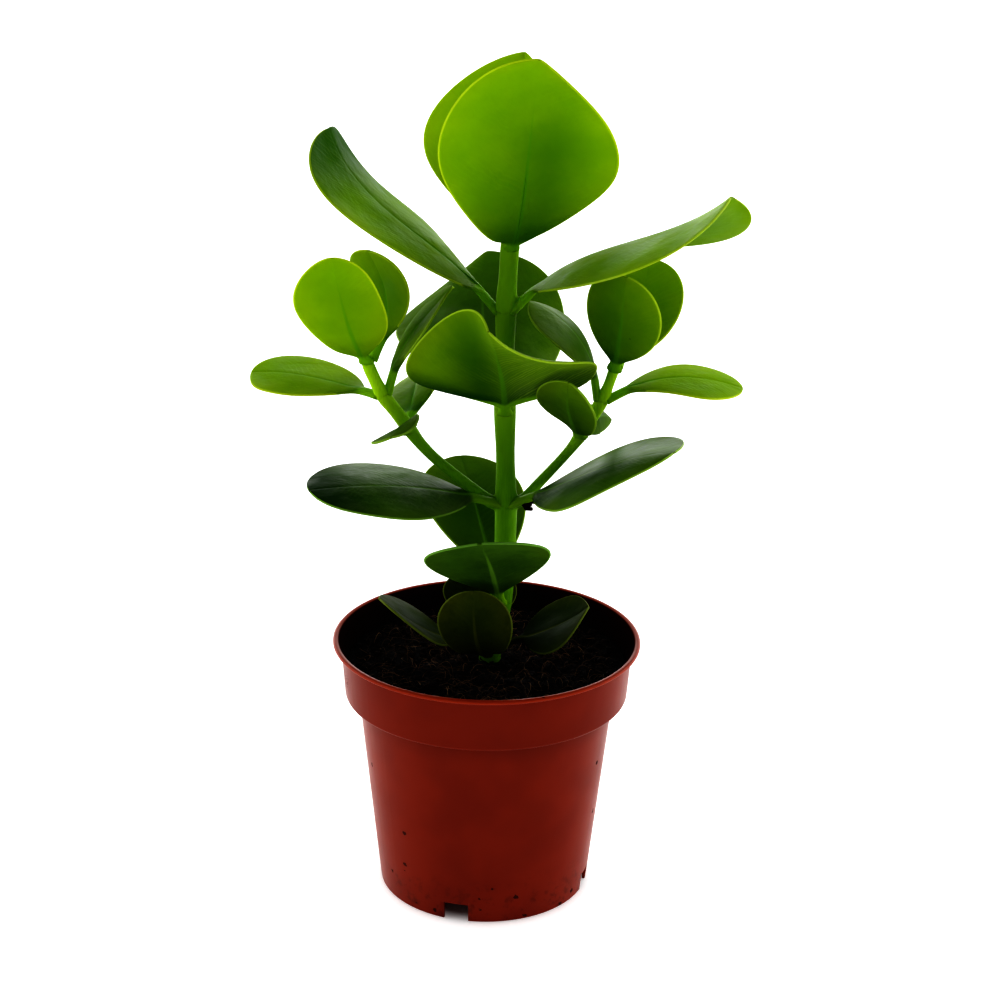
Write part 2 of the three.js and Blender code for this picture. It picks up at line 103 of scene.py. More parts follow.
def join_nets(nets):
    """One list of points and one of faces from several (points, faces) nets."""
    starts = np.cumsum([0] + [len(points) for points, _ in nets[:-1]])
    faces = [(np.asarray(corners) + start).tolist() for start, (_, corners) in zip(starts, nets)]
    return np.concatenate([points for points, _ in nets]), sum(faces, [])


def drawn_mesh(name, points, faces, weld, marks=()):
    """Mesh from points in millimetres, its faces turned outward, its meeting points merged where
    weld is true, and carrying a number a point under each name in marks."""
    mesh = bpy.data.meshes.new(name)
    mesh.from_pydata((np.asarray(points) * MM).tolist(), [], faces)
    carry(mesh, marks)
    work = bmesh.new()
    work.from_mesh(mesh)
    if weld:
        bmesh.ops.remove_doubles(work, verts=work.verts, dist=WELD)
    bmesh.ops.recalc_face_normals(work, faces=work.faces)
    work.to_mesh(mesh)
    work.free()
    return mesh


def carry(mesh, marks):
    """Numbers a point, given as (name, values) pairs, stored on the mesh for its material."""
    for name, values in marks:
        attribute = mesh.attributes.new(name, "FLOAT", "POINT")
        attribute.data.foreach_set("value", values.astype(np.float32))


def shown_piece(name, mesh, material):
    """The object that shows a mesh: smooth, riding on the part's one body."""
    mesh.shade_smooth()
    mesh.materials.append(material)
    piece = bpy.data.objects.new(name, mesh)
    bpy.context.scene.collection.objects.link(piece)
    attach(piece, "root")
    return piece


def around_axis(radius, height, bearing):
    """Points at a radius and height, turned to a bearing in degrees."""
    angle = np.radians(bearing)
    return np.stack(np.broadcast_arrays(radius * np.cos(angle), radius * np.sin(angle), height), -1)


def pot_net():
    """The wall is a profile turned about Z, its foot ring lifted to the floor where a notch is. Each
    eighth of the floor is ruled from its drain hole's edge out to the eighth's own outline."""
    beside_notch = np.linspace(EIGHTH / 2, NOTCH_HALF_ANGLE, 8)
    in_notch = [NOTCH_HALF_ANGLE - NOTCH_FLANK, 4.2, 2.1]
    half = np.concatenate([beside_notch, in_notch])
    offsets = np.concatenate([-half, [0], half[::-1]])
    eighths = NOTCH_BEARING + EIGHTH * np.arange(DRAIN_HOLES)
    bearings = (eighths[:, None] + offsets[:-1]).ravel()
    within = np.abs(offsets[:-1]) < NOTCH_HALF_ANGLE - NOTCH_FLANK / 2
    notched = ((np.arange(DRAIN_HOLES) % 2 == 0)[:, None] & within).ravel()
    under_edge, top_edge = FOOT_RADIUS - WALL - 0.2, body_radius(FLOOR_TOP) - WALL - 1
    ring_inside = FOOT_RADIUS - WALL
    corners = [
        [under_edge, FLOOR_UNDER], [ring_inside, FOOT_EDGE], [ring_inside + FOOT_EDGE, 0.0],
        [FOOT_RADIUS - 0.35, 0.0], [FOOT_RADIUS, 0.4],
        [body_radius(FLOOR_UNDER), FLOOR_UNDER], [body_radius(40), 40], [BODY_TOP_RADIUS, BODY_TOP],
        *POT_RIM, [body_radius(10) - WALL, 10], [top_edge, FLOOR_TOP],
    ]
    profile = eased(corners, 0.5, 5)
    radius, height = profile[:, :1], profile[:, 1:]
    lifted = np.where(notched, np.maximum(height, FLOOR_UNDER), height)
    wall = around_axis(radius, lifted, bearings)
    nets = [(wall.reshape(-1, 3), net(len(profile), len(bearings), True))]
    ruled = np.linspace(0, 1, RULED_STEPS)[:, None, None]
    turns = [np.array(Matrix.Rotation(np.radians(bearing), 3, "Z")).T for bearing in eighths]
    hole_rings = []
    for edge, level in ((under_edge, FLOOR_UNDER), (top_edge, FLOOR_TOP)):
        hub = around_axis(HUB_RADIUS * (1 - ruled[..., 0]), level, bearings)
        nets.append((hub.reshape(-1, 3), net(RULED_STEPS, len(bearings), True)))
        spokes = np.linspace(edge, HUB_RADIUS, 9)[1:-1]
        outline = np.concatenate([
            around_axis(edge, 0.0, offsets), around_axis(spokes, 0.0, EIGHTH / 2),
            around_axis(HUB_RADIUS, 0.0, offsets[::-1]), around_axis(spokes[::-1], 0.0, -EIGHTH / 2),
        ])
        centre = np.array([DRAIN_CIRCLE, 0, 0])
        away = outline - centre
        hole = centre + DRAIN_RADIUS * away / np.linalg.norm(away, axis=1, keepdims=True)
        eighth = hole + (outline - hole) * ruled
        hole_rings.append(hole + [0, 0, level])
        for turn in turns:
            turned = eighth @ turn + [0, 0, level]
            nets.append((turned.reshape(-1, 3), net(RULED_STEPS, len(outline), True)))
    nets += [(np.concatenate(hole_rings) @ turn, net(2, len(hole), True)) for turn in turns]
    return join_nets(nets)


def add_node(tree, kind, **settings):
    """New shader node. A setting named as an input fills or links it, and others are its options."""
    node = tree.nodes.new("ShaderNode" + kind)
    for key, value in settings.items():
        if hasattr(node, key) and not key.startswith("in_"):
            setattr(node, key, value)
    for key, value in settings.items():
        if key.startswith("in_"):
            name = key[3:]
            socket = node.inputs[int(name) if name.isdigit() else name.replace("_", " ")]
            if isinstance(value, bpy.types.NodeSocket):
                tree.links.new(value, socket)
            else:
                socket.default_value = value
    return node


def blank_material(name):
    """New material, its emptied node tree, and its Object coordinates."""
    material = bpy.data.materials.new(name)
    material.use_nodes = True
    tree = material.node_tree
    tree.nodes.clear()
    place = add_node(tree, "TexCoord").outputs["Object"]
    return material, tree, place


def finished(material, shader):
    """The material, its output fed by a shader node."""
    out = add_node(material.node_tree, "OutputMaterial")
    material.node_tree.links.new(shader.outputs[0], out.inputs[0])
    return material


def mark(tree, label):
    """A number that the mesh carries for each point."""
    return add_node(tree, "Attribute", attribute_name=label).outputs["Fac"]


def noise(place, scale, detail=3.0, rough=0.5):
    """Noise value about 0.5, with `scale` features in a metre, in the tree that place belongs to."""
    return add_node(
        place.id_data, "TexNoise", in_Vector=place, in_Scale=scale, in_Detail=detail, in_Roughness=rough,
    ).outputs["Fac"]


def ramp(value, low, high, to_low=0.0, to_high=1.0):
    """Value carried smoothly from low..high to to_low..to_high, and held beyond."""
    return add_node(
        value.id_data, "MapRange", interpolation_type="SMOOTHSTEP", in_Value=value, in_1=low, in_2=high,
        in_3=to_low, in_4=to_high,
    ).outputs["Result"]


def blend(share, first, second):
    """Colour mixed from first to second by share."""
    return add_node(
        share.id_data, "Mix", data_type="RGBA", in_0=share, in_6=first, in_7=second,
    ).outputs[2]


def calc(operation, first, second=0.0, third=0.0):
    """Result of a math node on a number from a node and one or two more."""
    return add_node(
        first.id_data, "Math", operation=operation, in_0=first, in_1=second, in_2=third,
    ).outputs[0]


def bump(height, strength, distance, **more):
    """Normal tilted as if the surface rose by distance metres for each unit of height."""
    return add_node(
        height.id_data, "Bump", in_Height=height, in_Strength=strength, in_Distance=distance, **more,
    ).outputs[0]


def surfaced(colour, dull, normal, **more):
    """Surface node of a colour, a roughness and a normal."""
    return add_node(
        colour.id_data, "BsdfPrincipled", in_Base_Color=colour, in_Roughness=dull, in_Normal=normal, **more,
    )


def times(first, second):
    """Product of two numbers."""
    return calc("MULTIPLY", first, second)


def rgb(red, green, blue):
    """Colour for a shader from display values of 0 to 255."""
    value = np.array([red, green, blue]) / 255
    linear = np.where(value <= 0.04045, value / 12.92, ((value + 0.055) / 1.055) ** 2.4)
    return (*linear.tolist(), 1.0)


def line(value, at, level, slope):
    """Straight line of a slope through level at value = at."""
    return calc("MULTIPLY_ADD", value, slope, level - slope * at)


def specks(place, scale, rarity, wide, least):
    """1 on round specks in a grid of `scale` cells a metre, in the cells whose draw passes rarity.
    Their radius, in cells, is wide times noise plus least."""
    cells = add_node(place.id_data, "TexVoronoi", in_Vector=place, in_Scale=scale)
    drawn = add_node(place.id_data, "SeparateColor", in_Color=cells.outputs["Color"]).outputs[0]
    radius = calc("MULTIPLY_ADD", noise(place, 900, 2), wide, least)
    inside = calc("LESS_THAN", cells.outputs["Distance"], radius)
    return times(inside, calc("GREATER_THAN", drawn, rarity))


# In metres, as the material reads its place. The lines are (height, radius there, slope) of the middle
# of the collar's wall and of the lip, where the painted shade of the pot's inside begins.
COLLAR_FOOT = 0.0802
LIP_FOOT, LIP_CROWN = 0.1004, 0.1020
COLLAR_LINE, LIP_LINE = (0.0824, 0.0547, 0.08), (0.1005, 0.0568, 0.6)
INSIDE_SHADE_DEPTH = 0.0006             # from where the painted shade begins to its full strength
SCUFF_AT = (-0.0545, -0.0165, 0.0905)


def terracotta_plastic():
    """Glossy plastic: two close terracottas in soft clouds, with painted shadow just under the collar and a
    little darker on the collar, a painted highlight on the lip and painted shade on the inside, with soil
    specks and smudges near the foot and a dark scratched patch on the collar's left."""
    material, tree, place = blank_material("terracotta_plastic")
    part = add_node(tree, "SeparateXYZ", in_Vector=place).outputs
    height = part["Z"]
    clouds = ramp(noise(place, 45, 2), 0.3, 0.7)
    colour = blend(clouds, rgb(118, 38, 19), rgb(126, 42, 21))
    # painted shadow: the body darkens just under the collar's overhang
    up_to_collar = ramp(height, COLLAR_FOOT - 0.0102, COLLAR_FOOT - 0.0002)
    shade_under_collar = times(up_to_collar, ramp(height, COLLAR_FOOT + 0.001, COLLAR_FOOT))
    colour = blend(times(shade_under_collar, 0.35), colour, rgb(84, 24, 12))
    on_collar = ramp(height, COLLAR_FOOT - 0.0007, COLLAR_FOOT + 0.0018, 0.0, 0.2)
    colour = blend(on_collar, colour, rgb(104, 31, 16))
    # painted highlight: the rolled lip is paler where it catches the light
    lip = ramp(height, LIP_FOOT, LIP_CROWN, 0.0, 0.7)
    colour = blend(lip, colour, rgb(158, 60, 30))
    flat = add_node(tree, "CombineXYZ", in_X=part["X"], in_Y=part["Y"])
    radius = add_node(tree, "VectorMath", operation="LENGTH", in_0=flat.outputs[0]).outputs["Value"]
    # painted shade: the inside of the pot is darkened nearly black, and made rough and unshining
    middle = calc("MAXIMUM", line(height, *COLLAR_LINE), line(height, *LIP_LINE))
    inward = calc("SUBTRACT", middle, radius)
    inside_shade = ramp(inward, 0.0, INSIDE_SHADE_DEPTH, 0.0, 0.97)
    inside_shade = times(inside_shade, ramp(height, COLLAR_FOOT + 0.0008, COLLAR_FOOT + 0.0018))
    colour = blend(inside_shade, colour, rgb(22, 7, 5))
    splash = specks(place, 230.0, ramp(height, 0.022, 0.003, 0.985, 0.72), 0.45, 0.0)
    scuff_reach = add_node(tree, "VectorMath", operation="DISTANCE", in_0=place, in_1=SCUFF_AT)
    scuff = ramp(scuff_reach.outputs["Value"], 0.0048, 0.0012)
    scratches = ramp(noise(place, 1100, 4, 0.7), 0.55, 0.62)
    dirt = calc("MAXIMUM", splash, times(scuff, scratches))
    smudge = ramp(noise(place, 210, 5, 0.7), 0.5, 0.66)
    smudge = times(smudge, ramp(height, 0.024, 0.002, 0.0, 0.5))
    colour = blend(smudge, colour, rgb(64, 20, 10))
    colour = blend(times(dirt, 0.85), colour, rgb(40, 18, 12))
    grain = noise(place, 2600, 2)
    dull = ramp(noise(place, 70, 4), 0.3, 0.7, 0.28, 0.33)
    dull = calc("ADD", dull, times(dirt, 0.4))
    dull = calc("MAXIMUM", dull, inside_shade)
    waves = noise(place, 90, 2)
    relief = calc("ADD", grain, times(dirt, 3.0))
    skin = bump(relief, 0.12, 0.00006, in_Normal=bump(waves, 0.05, 0.0006))
    shine = calc("MULTIPLY_ADD", inside_shade, -0.08, 0.08)
    surface = surfaced(colour, dull, skin, in_Specular_IOR_Level=shine)
    surface.inputs["IOR"].default_value = 1.5
    return finished(material, surface)


pot = shown_piece("nursery_pot", drawn_mesh("nursery_pot", *pot_net(), True), terracotta_plastic())
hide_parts("pot")

# ---- potting mix -------------------------------------------------------------------------------
# Dark peat with coir fibre, filled loose to about a centimetre under the rim. Its surface is a bed
# of crumbs of peat, with brown fibres of coir lying matted on it.
SOIL_LEVEL = 93.0
SOIL_EDGE = 54.2
SOIL_RINGS = 64
MOUND_EDGE = 54.0                # radius at which the mound and the swell have died away
MOUND = 0.9                      # how much higher the mix lies about the stem
SWELL = 0.63
LUMPS = 40
mix_dice = np.random.default_rng(11)


def soil_height(x, y):
    """Height of the surface: the level, a swell of two slow waves round the axis, a low mound about
    the stem, and short waves of seeded heading, length and start for the lumps."""
    radius, bearing = np.hypot(x, y), np.arctan2(y, x)
    fade = np.clip((MOUND_EDGE - radius) / 10, 0, 1) * np.clip(radius / 12, 0, 1)
    swell = np.sin(3 * bearing + radius / 7) + np.sin(5 * bearing - radius / 4 + 1)
    heading, length, start = LUMP_WAVES
    phase = (x[..., None] * np.cos(heading) + y[..., None] * np.sin(heading)) * 2 * np.pi / length
    lumps = (np.sin(phase + start) * length * 0.012).sum(-1)
    return SOIL_LEVEL + SWELL * fade * swell + MOUND * (1 - radius / MOUND_EDGE) + lumps


LUMP_RANGES = [(0, 2 * np.pi), (2.5, 11), (0, 2 * np.pi)]  # of their headings, lengths and starts
LUMP_WAVES = [mix_dice.uniform(low, high, LUMPS) for low, high in LUMP_RANGES]


def soil_net():
    """A turned block: floor, side along the pot's inner wall, and a top whose rings take the
    surface's height."""
    bearings = np.arange(0.0, 360.0, 2.0)
    side = [[0, 9.3], [38.9, 9.3], [40.5, 10.3], [48.4, 81.9], [53.8, 82.7], [SOIL_EDGE, 92.0]]
    wall = eased(side, 0.3, 3)
    sides = around_axis(wall[:, :1], wall[:, 1:], bearings)
    radii = SOIL_EDGE * np.linspace(1, 0, SOIL_RINGS)[:, None]
    top = around_axis(radii, 0.0, bearings)
    top[..., 2] = soil_height(top[..., 0], top[..., 1])
    block = np.concatenate([sides, top])
    return block.reshape(-1, 3), net(len(block), len(bearings), True).tolist()


def peat():
    """Damp peat: near black with browner crumbs, dull, broken up by bump at two sizes."""
    material, _, place = blank_material("peat")
    crumbs = noise(place, 900, 6, 0.65)
    colour = blend(ramp(crumbs, 0.42, 0.7), rgb(9, 6, 5), rgb(34, 20, 14))
    coarse = noise(place, 330, 5, 0.7)
    relief = calc("ADD", crumbs, times(coarse, 1.5))
    surface = surfaced(colour, ramp(coarse, 0.3, 0.7, 0.8, 0.97), bump(relief, 0.8, 0.0012))
    surface.inputs["Specular IOR Level"].default_value = 0.12
    return finished(material, surface)


soil = shown_piece("potting_mix", drawn_mesh("potting_mix", *soil_net(), True), peat())
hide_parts("soil")


def strands(start, heading, length, turn, lift, half, sides=4, stations=8):
    """Thin tubes for fibres: each runs along a heading that turns steadily, follows the soil's
    height, and arches by lift times the sine of its way along. It tapers at both ends."""
    s = np.linspace(0, 1, stations)
    angle = heading[:, None] + turn[:, None] * (s - 0.5)
    step = np.stack([np.cos(angle), np.sin(angle)], -1) * (length / stations)[:, None, None]
    way = start[:, None] + np.cumsum(step, 1) - step.sum(1, keepdims=True) / 2
    way *= np.minimum(1, (SOIL_EDGE - 1.0) / np.maximum(np.linalg.norm(way, axis=-1, keepdims=True), 1))
    z = soil_height(way[..., 0], way[..., 1]) + half[:, None] + lift[:, None] * np.sin(np.pi * s)
    across = np.stack([-np.sin(angle), np.cos(angle), np.zeros_like(angle)], -1)
    thin = half[:, None] * (0.25 + 0.75 * np.sin(np.pi * s) ** 0.5)
    turn_about = 2 * np.pi * np.arange(sides) / sides
    centre = np.concatenate([way, z[..., None]], -1)[:, :, None]
    ring = across[:, :, None] * np.cos(turn_about)[:, None] + [0, 0, 1] * np.sin(turn_about)[:, None]
    points = centre + ring * thin[:, :, None, None]
    tube = net(stations, sides, True).tolist()
    tube += [list(range(sides))[::-1], list(range((stations - 1) * sides, stations * sides))]
    count = stations * sides
    faces = [[corner + i * count for corner in face] for i in range(len(start)) for face in tube]
    return points.reshape(-1, 3), faces


def tinted_piece(name, points, faces, tints, slot, material):
    """Piece of many small bodies, each with its own `tint` number."""
    each = np.repeat(tints, len(points) // len(tints))
    return shown_piece(name, drawn_mesh(name, points, faces, False, [("tint", each)]), material)


def tinted_finish(name, dark, light, dull, scale):
    """Matt finish that runs from dark to light by the body's tint, mottled by noise."""
    material, tree, place = blank_material(name)
    tint = mark(tree, "tint")
    mottle = noise(place, scale, 3)
    share = calc("ADD", tint, ramp(mottle, 0.3, 0.7, -0.2, 0.2))
    rough = ramp(mottle, 0.3, 0.7, dull, dull + 0.1)
    surface = surfaced(blend(share, dark, light), rough, bump(mottle, 0.4, 0.0002))
    surface.inputs["Specular IOR Level"].default_value = 0.15
    return finished(material, surface)


FIBRES = 1100
FIBRE_ARCH = 4.0                 # how high the most arched of them stands
spot = mix_dice.uniform(0, 2 * np.pi, FIBRES)
out_by = 50 * np.sqrt(mix_dice.uniform(0.02, 1, FIBRES))
fibres = strands(
    start=np.stack([out_by * np.cos(spot), out_by * np.sin(spot)], -1),
    heading=mix_dice.uniform(0, 2 * np.pi, FIBRES), length=mix_dice.uniform(4, 15, FIBRES),
    turn=mix_dice.normal(0, 1.6, FIBRES), lift=mix_dice.uniform(0, 1, FIBRES) ** 3 * FIBRE_ARCH,
    half=mix_dice.uniform(0.07, 0.16, FIBRES),
)
coir = tinted_finish("coir_fibre", rgb(40, 26, 18), rgb(150, 118, 88), 0.6, 900)
tinted_piece("coir_fibres", *fibres, mix_dice.uniform(0, 1, FIBRES) ** 2, "soil", coir)

CRUMBS = 700
spot = mix_dice.uniform(0, 2 * np.pi, CRUMBS)
out_by = 53 * np.sqrt(mix_dice.uniform(0.0, 1, CRUMBS))
crumb_size = mix_dice.uniform(0.35, 1.5, CRUMBS) ** 1.3
BALL_SIDES = 6
latitude = np.radians([90, 45, 0, -45, -90])[:, None]
longitude = 2 * np.pi * np.arange(BALL_SIDES) / BALL_SIDES
ball = np.stack(np.broadcast_arrays(
    np.cos(latitude) * np.cos(longitude), np.cos(latitude) * np.sin(longitude), 0.7 * np.sin(latitude),
), -1).reshape(-1, 3)


def crumb_bodies(centre, size, ball, dice):
    """Squashed balls of a given size, every corner pushed in or out by up to a third."""
    bumpy = 1 + dice.uniform(-0.33, 0.33, (len(centre), len(ball), 1))
    stretch = dice.uniform(0.6, 1.3, (len(centre), 1, 3))
    points = centre[:, None] + ball * bumpy * stretch * size[:, None, None]
    for pole in (slice(0, BALL_SIDES), slice(-BALL_SIDES, None)):
        points[:, pole] = points[:, pole].mean(1, keepdims=True)
    shell = net(len(latitude), BALL_SIDES, True)
    faces = (shell[None] + (np.arange(len(centre)) * len(ball))[:, None, None]).reshape(-1, 4)
    return points.reshape(-1, 3), faces.tolist()


crumb_x, crumb_y = out_by * np.cos(spot), out_by * np.sin(spot)
crumb_at = np.stack([crumb_x, crumb_y, soil_height(crumb_x, crumb_y) + 0.2 * crumb_size], -1)
crumbs = crumb_bodies(crumb_at, crumb_size, ball, mix_dice)
crumb_peat = tinted_finish("crumb_peat", rgb(9, 6, 5), rgb(40, 25, 17), 0.85, 700)
tinted_piece("peat_crumbs", *crumbs, mix_dice.uniform(0, 1, CRUMBS) ** 2, "soil", crumb_peat)

# ---- stem --------------------------------------------------------------------------------------
# One straight main stem and two side shoots from its second node, fleshy and green. Each node swells
# under its pair of leaves and is crossed by a fine ring; the shoots' skin grows into the stem's, and
# a small bud stands in one axil.

# [x, z, radius] at stations along each shoot, all in the plane Y = 0, and the heights of its nodes.
SHOOTS = {
    "main": [
        [1.2, 59, 4.0], [1.4, 97, 4.4], [3.2, 107, 4.3], [5.3, 119, 4.4], [6.4, 138, 4.1],
        [6.6, 158, 4.3], [6.1, 177, 3.6], [5.6, 197, 4.2], [5.4, 216, 3.5], [5.4, 235, 4.0],
        [5.9, 248, 3.5], [6.5, 261, 3.4], [6.5, 266, 1.4],
    ],
    "left": [
        [6, 157.5, 2.6], [-0.2, 160, 2.5], [-9.5, 167.2, 2.2], [-15.7, 172.3, 2.1],
        [-21.6, 177.5, 2.1], [-26.8, 183.2, 2.3], [-31, 189, 2.8], [-35.6, 195.2, 2.6],
        [-40.2, 201.2, 2.8], [-43.2, 207, 2.4], [-46, 213.5, 2.3], [-46.8, 217, 0.9],
    ],
    "right": [
        [7, 157.5, 2.5], [13.1, 160.6, 2.2], [19.4, 167.7, 2.0], [25.7, 175, 1.9], [31, 181.6, 2.0],
        [34.8, 187.4, 2.6], [38.2, 193.4, 2.4], [42, 200.6, 2.6], [44.4, 207, 2.0],
        [46.4, 213.5, 2.0], [47.2, 216.8, 0.9],
    ],
}
NODES = {"main": [119, 158.5, 197, 235, 261], "left": [189, 201.5, 214], "right": [188, 200.8, 213.5]}
STEM_GRAIN = 0.42                # size of the squares that the grown-together skin is drawn with
BUD = [[9.0, 236, 0.9], [10.6, 239.5, 1.0], [11.6, 241.8, 0.25]]
RING_WIDE = 0.45                 # how far along the shoot a node's ring shows
RING_REACH = 7.0                 # how far from the node it is still looked for


def smooth_route(stations, steps):
    """Stations joined by Catmull-Rom curves: each coordinate is the cubic that passes through two
    stations with the slopes of their neighbours' chords."""
    fixed = np.asarray(stations, float)
    padded = np.concatenate([2 * fixed[:1] - fixed[1:2], fixed, 2 * fixed[-1:] - fixed[-2:-1]])
    t = np.linspace(0, 1, steps, endpoint=False)[:, None]
    a, b, c, d = (padded[k:len(fixed) - 1 + k, None] for k in range(4))
    square, cube = 2 * a - 5 * b + 4 * c - d, 3 * b - a - 3 * c + d
    curve = 0.5 * (2 * b + (c - a) * t + square * t ** 2 + cube * t ** 3)
    return np.concatenate([curve.reshape(-1, fixed.shape[1]), fixed[-1:]])


def shoot_tube(stations, sides=28):
    """A tube along a route in the plane Y = 0: at each station a circle square to the route, radius
    cos(angle) out to its side and radius sin(angle) along Y. Both ends close on a point of the route."""
    route = smooth_route(stations, 8)
    x, z, radius = route.T
    slope = np.stack([np.gradient(x), np.gradient(z)], -1)
    slope /= np.linalg.norm(slope, axis=1, keepdims=True)
    angle = 2 * np.pi * np.arange(sides) / sides
    reach, depth = radius[:, None] * np.cos(angle), radius[:, None] * np.sin(angle)
    points = np.stack([x[:, None] + slope[:, 1:] * reach, depth, z[:, None] - slope[:, :1] * reach], -1)
    ends = [np.broadcast_to([x[k], 0, z[k]], (1, sides, 3)) for k in (0, -1)]
    points = np.concatenate([ends[0], points, ends[1]])
    return points.reshape(-1, 3), net(len(points), sides, True).tolist()


def grown_together(name, nets):
    """One skin round several overlapping tubes, its folds smoothed, as a mesh."""
    rough = drawn_mesh(name + "_parts", *join_nets(nets), True)
    joined = bpy.data.objects.new(name + "_parts", rough)
    bpy.context.scene.collection.objects.link(joined)
    remesh = joined.modifiers.new("one_skin", "REMESH")
    remesh.mode, remesh.voxel_size = "VOXEL", STEM_GRAIN * MM
    relax = joined.modifiers.new("relax", "SMOOTH")
    relax.factor, relax.iterations = 0.5, 12
    ready = bpy.context.evaluated_depsgraph_get()
    mesh = bpy.data.meshes.new_from_object(joined.evaluated_get(ready))
    bpy.data.objects.remove(joined)
    mesh.name = name
    return mesh


def ring_marks(places):
    """How near each point is to a node's ring, from 0 to 1: a bell curve of the distance along the
    shoot, kept to the points about that shoot."""
    ring = np.zeros(len(places))
    for shoot, heights in NODES.items():
        route = smooth_route(SHOOTS[shoot], 8)
        for level in heights:
            k = np.abs(route[:, 1] - level).argmin()
            at = np.array([route[k, 0], 0, route[k, 1]])
            ahead = route[min(k + 1, len(route) - 1)] - route[k - 1]
            way = np.array([ahead[0], 0, ahead[1]]) / np.hypot(ahead[0], ahead[1])
            off = places - at
            near = np.linalg.norm(off, axis=1) < RING_REACH
            ring = np.maximum(ring, near * np.exp(-((off @ way) / RING_WIDE) ** 2))
    return ring


def green_skin():
    """Fleshy green skin: yellower and lighter upward and out along the side shoots, partly young growth and
    partly painted light, with fine streaks along the stem, a broken dark ring at each node, and a little
    light let through."""
    material, tree, place = blank_material("stem_skin")
    height = add_node(tree, "SeparateXYZ", in_Vector=place).outputs["Z"]
    clouds = noise(place, 60, 3)
    long_place = add_node(tree, "Mapping", in_Vector=place, in_Scale=(1.0, 1.0, 0.12)).outputs[0]
    streaks = noise(long_place, 1800, 3)
    older = blend(ramp(clouds, 0.3, 0.7), rgb(84, 128, 12), rgb(98, 140, 16))
    young = blend(ramp(clouds, 0.3, 0.7), rgb(184, 226, 30), rgb(194, 230, 36))
    side = mark(tree, "side_shoot")
    # partly painted light: the skin is lighter and yellower up the stem and out along the side shoots, as
    # well as younger there
    young_and_lit = calc("MAXIMUM", ramp(height, 0.16, 0.22, 0.0, 0.45), side)
    colour = blend(young_and_lit, older, young)
    colour = blend(ramp(streaks, 0.35, 0.65, 0.0, 0.35), colour, rgb(128, 172, 30))
    ring = mark(tree, "node_ring")
    broken = times(ring, ramp(noise(place, 420, 2), 0.35, 0.6))
    colour = blend(times(broken, 0.55), colour, rgb(46, 78, 12))
    relief = calc("SUBTRACT", times(streaks, 0.4), ring)
    skin = bump(relief, 0.35, 0.0003)
    surface = surfaced(colour, ramp(clouds, 0.3, 0.7, 0.36, 0.48), skin)
    surface.inputs["Specular IOR Level"].default_value = 0.05
    through = add_node(tree, "BsdfTranslucent", in_Color=rgb(172, 216, 24), in_Normal=skin)
    mixed = add_node(tree, "MixShader", in_0=0.3, in_1=surface.outputs[0], in_2=through.outputs[0])
    return finished(material, mixed)


tubes = [shoot_tube(route) for route in SHOOTS.values()] + [shoot_tube(BUD, 12)]
stem_mesh = grown_together("stem_skin", tubes)
skin_at = np.empty(len(stem_mesh.vertices) * 3)
stem_mesh.vertices.foreach_get("co", skin_at)
skin_at = skin_at.reshape(-1, 3) / MM
from_axis, level = np.abs(skin_at[:, 0]), skin_at[:, 2]
side_share = np.clip((from_axis - 26) / 16, 0, 1) * np.clip((level - 150) / 10, 0, 1)
carry(stem_mesh, [("node_ring", ring_marks(skin_at)), ("side_shoot", side_share)])
stem = shown_piece("green_stem", stem_mesh, green_skin())
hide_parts("stem")

# ---- dried scale -------------------------------------------------------------------------------
# What is left of a bud's scales: three dry brown flakes a millimetre or two across, caught under the
# right shoot, between it and the stalk of the leaf beside it.
SCALE_AT = np.array([[14.6, -4.4, 160.8], [17.0, -4.9, 161.6], [15.4, -5.6, 158.8]])
SCALE_SIZE = np.array([2.2, 1.5, 1.4])
SCALE_TINT = np.array([0.1, 0.5, 0.3])
scale_bodies = crumb_bodies(SCALE_AT, SCALE_SIZE, ball, np.random.default_rng(5))
dry_brown = tinted_finish("dry_brown", rgb(12, 8, 6), rgb(52, 34, 22), 0.8, 900)
tinted_piece("dried_bud_scales", *scale_bodies, SCALE_TINT, "stem", dry_brown)

# ---- leaves ------------------------------------------------------------------------------------
# Thick, leathery, blunt leaves in opposite pairs, each pair turned a quarter from the last, on
# short stout stalks that clasp the stem. Every blade has a keeled midrib, fine close side veins
# and a thin yellow margin; older ones are dark and glossy, younger ones yellow-green and lit through.

# `at` is the node's [x, z], `bearing` the heading from +X in degrees and `rise` the climb at the stem.
# `arch` is what the climb gains by the tip, `bend` what it gains half way only; `swing`, `roll` and
# `twist` turn the heading and the blade. For the [left, right] halves, `fold` and `curl` raise them,
# all along and towards the tip, `cup` bends them towards the margin, `base` and `end` shape the
# outline, and `sway` makes it wave. `sunk` is how far from the stem's axis the stalk starts, `stout`
# how thick it is. `age` runs from young to old, `half_shade` is how much painted shade each half takes
# beside the midrib and stalk, `veined` how strong its veins are, `waxy` its sheen, and `tip_shade` how much
# painted shade darkens the tip.
PLAIN_LEAF = dict(
    bearing=0, rise=30, arch=0, bend=0, swing=0, roll=0, twist=0, fold=[6, 6], curl=[0, 0],
    cup=[-10, -10], petiole=11, base=[0.87, 0.87], end=[0.52, 0.52], sway=[[0, 0], [0, 0]],
    sunk=2.8, stout=1, age=0.8, half_shade=0.4, veined=1, waxy=0.3, tip_shade=0,
)
PLAIN_SOIL_LEAF = dict(PLAIN_LEAF, stout=0.75, age=1.25, waxy=0.12)
PLAIN_SIDE_LEAF = dict(PLAIN_LEAF, petiole=8, sunk=1.7, stout=0.95, age=0.6)
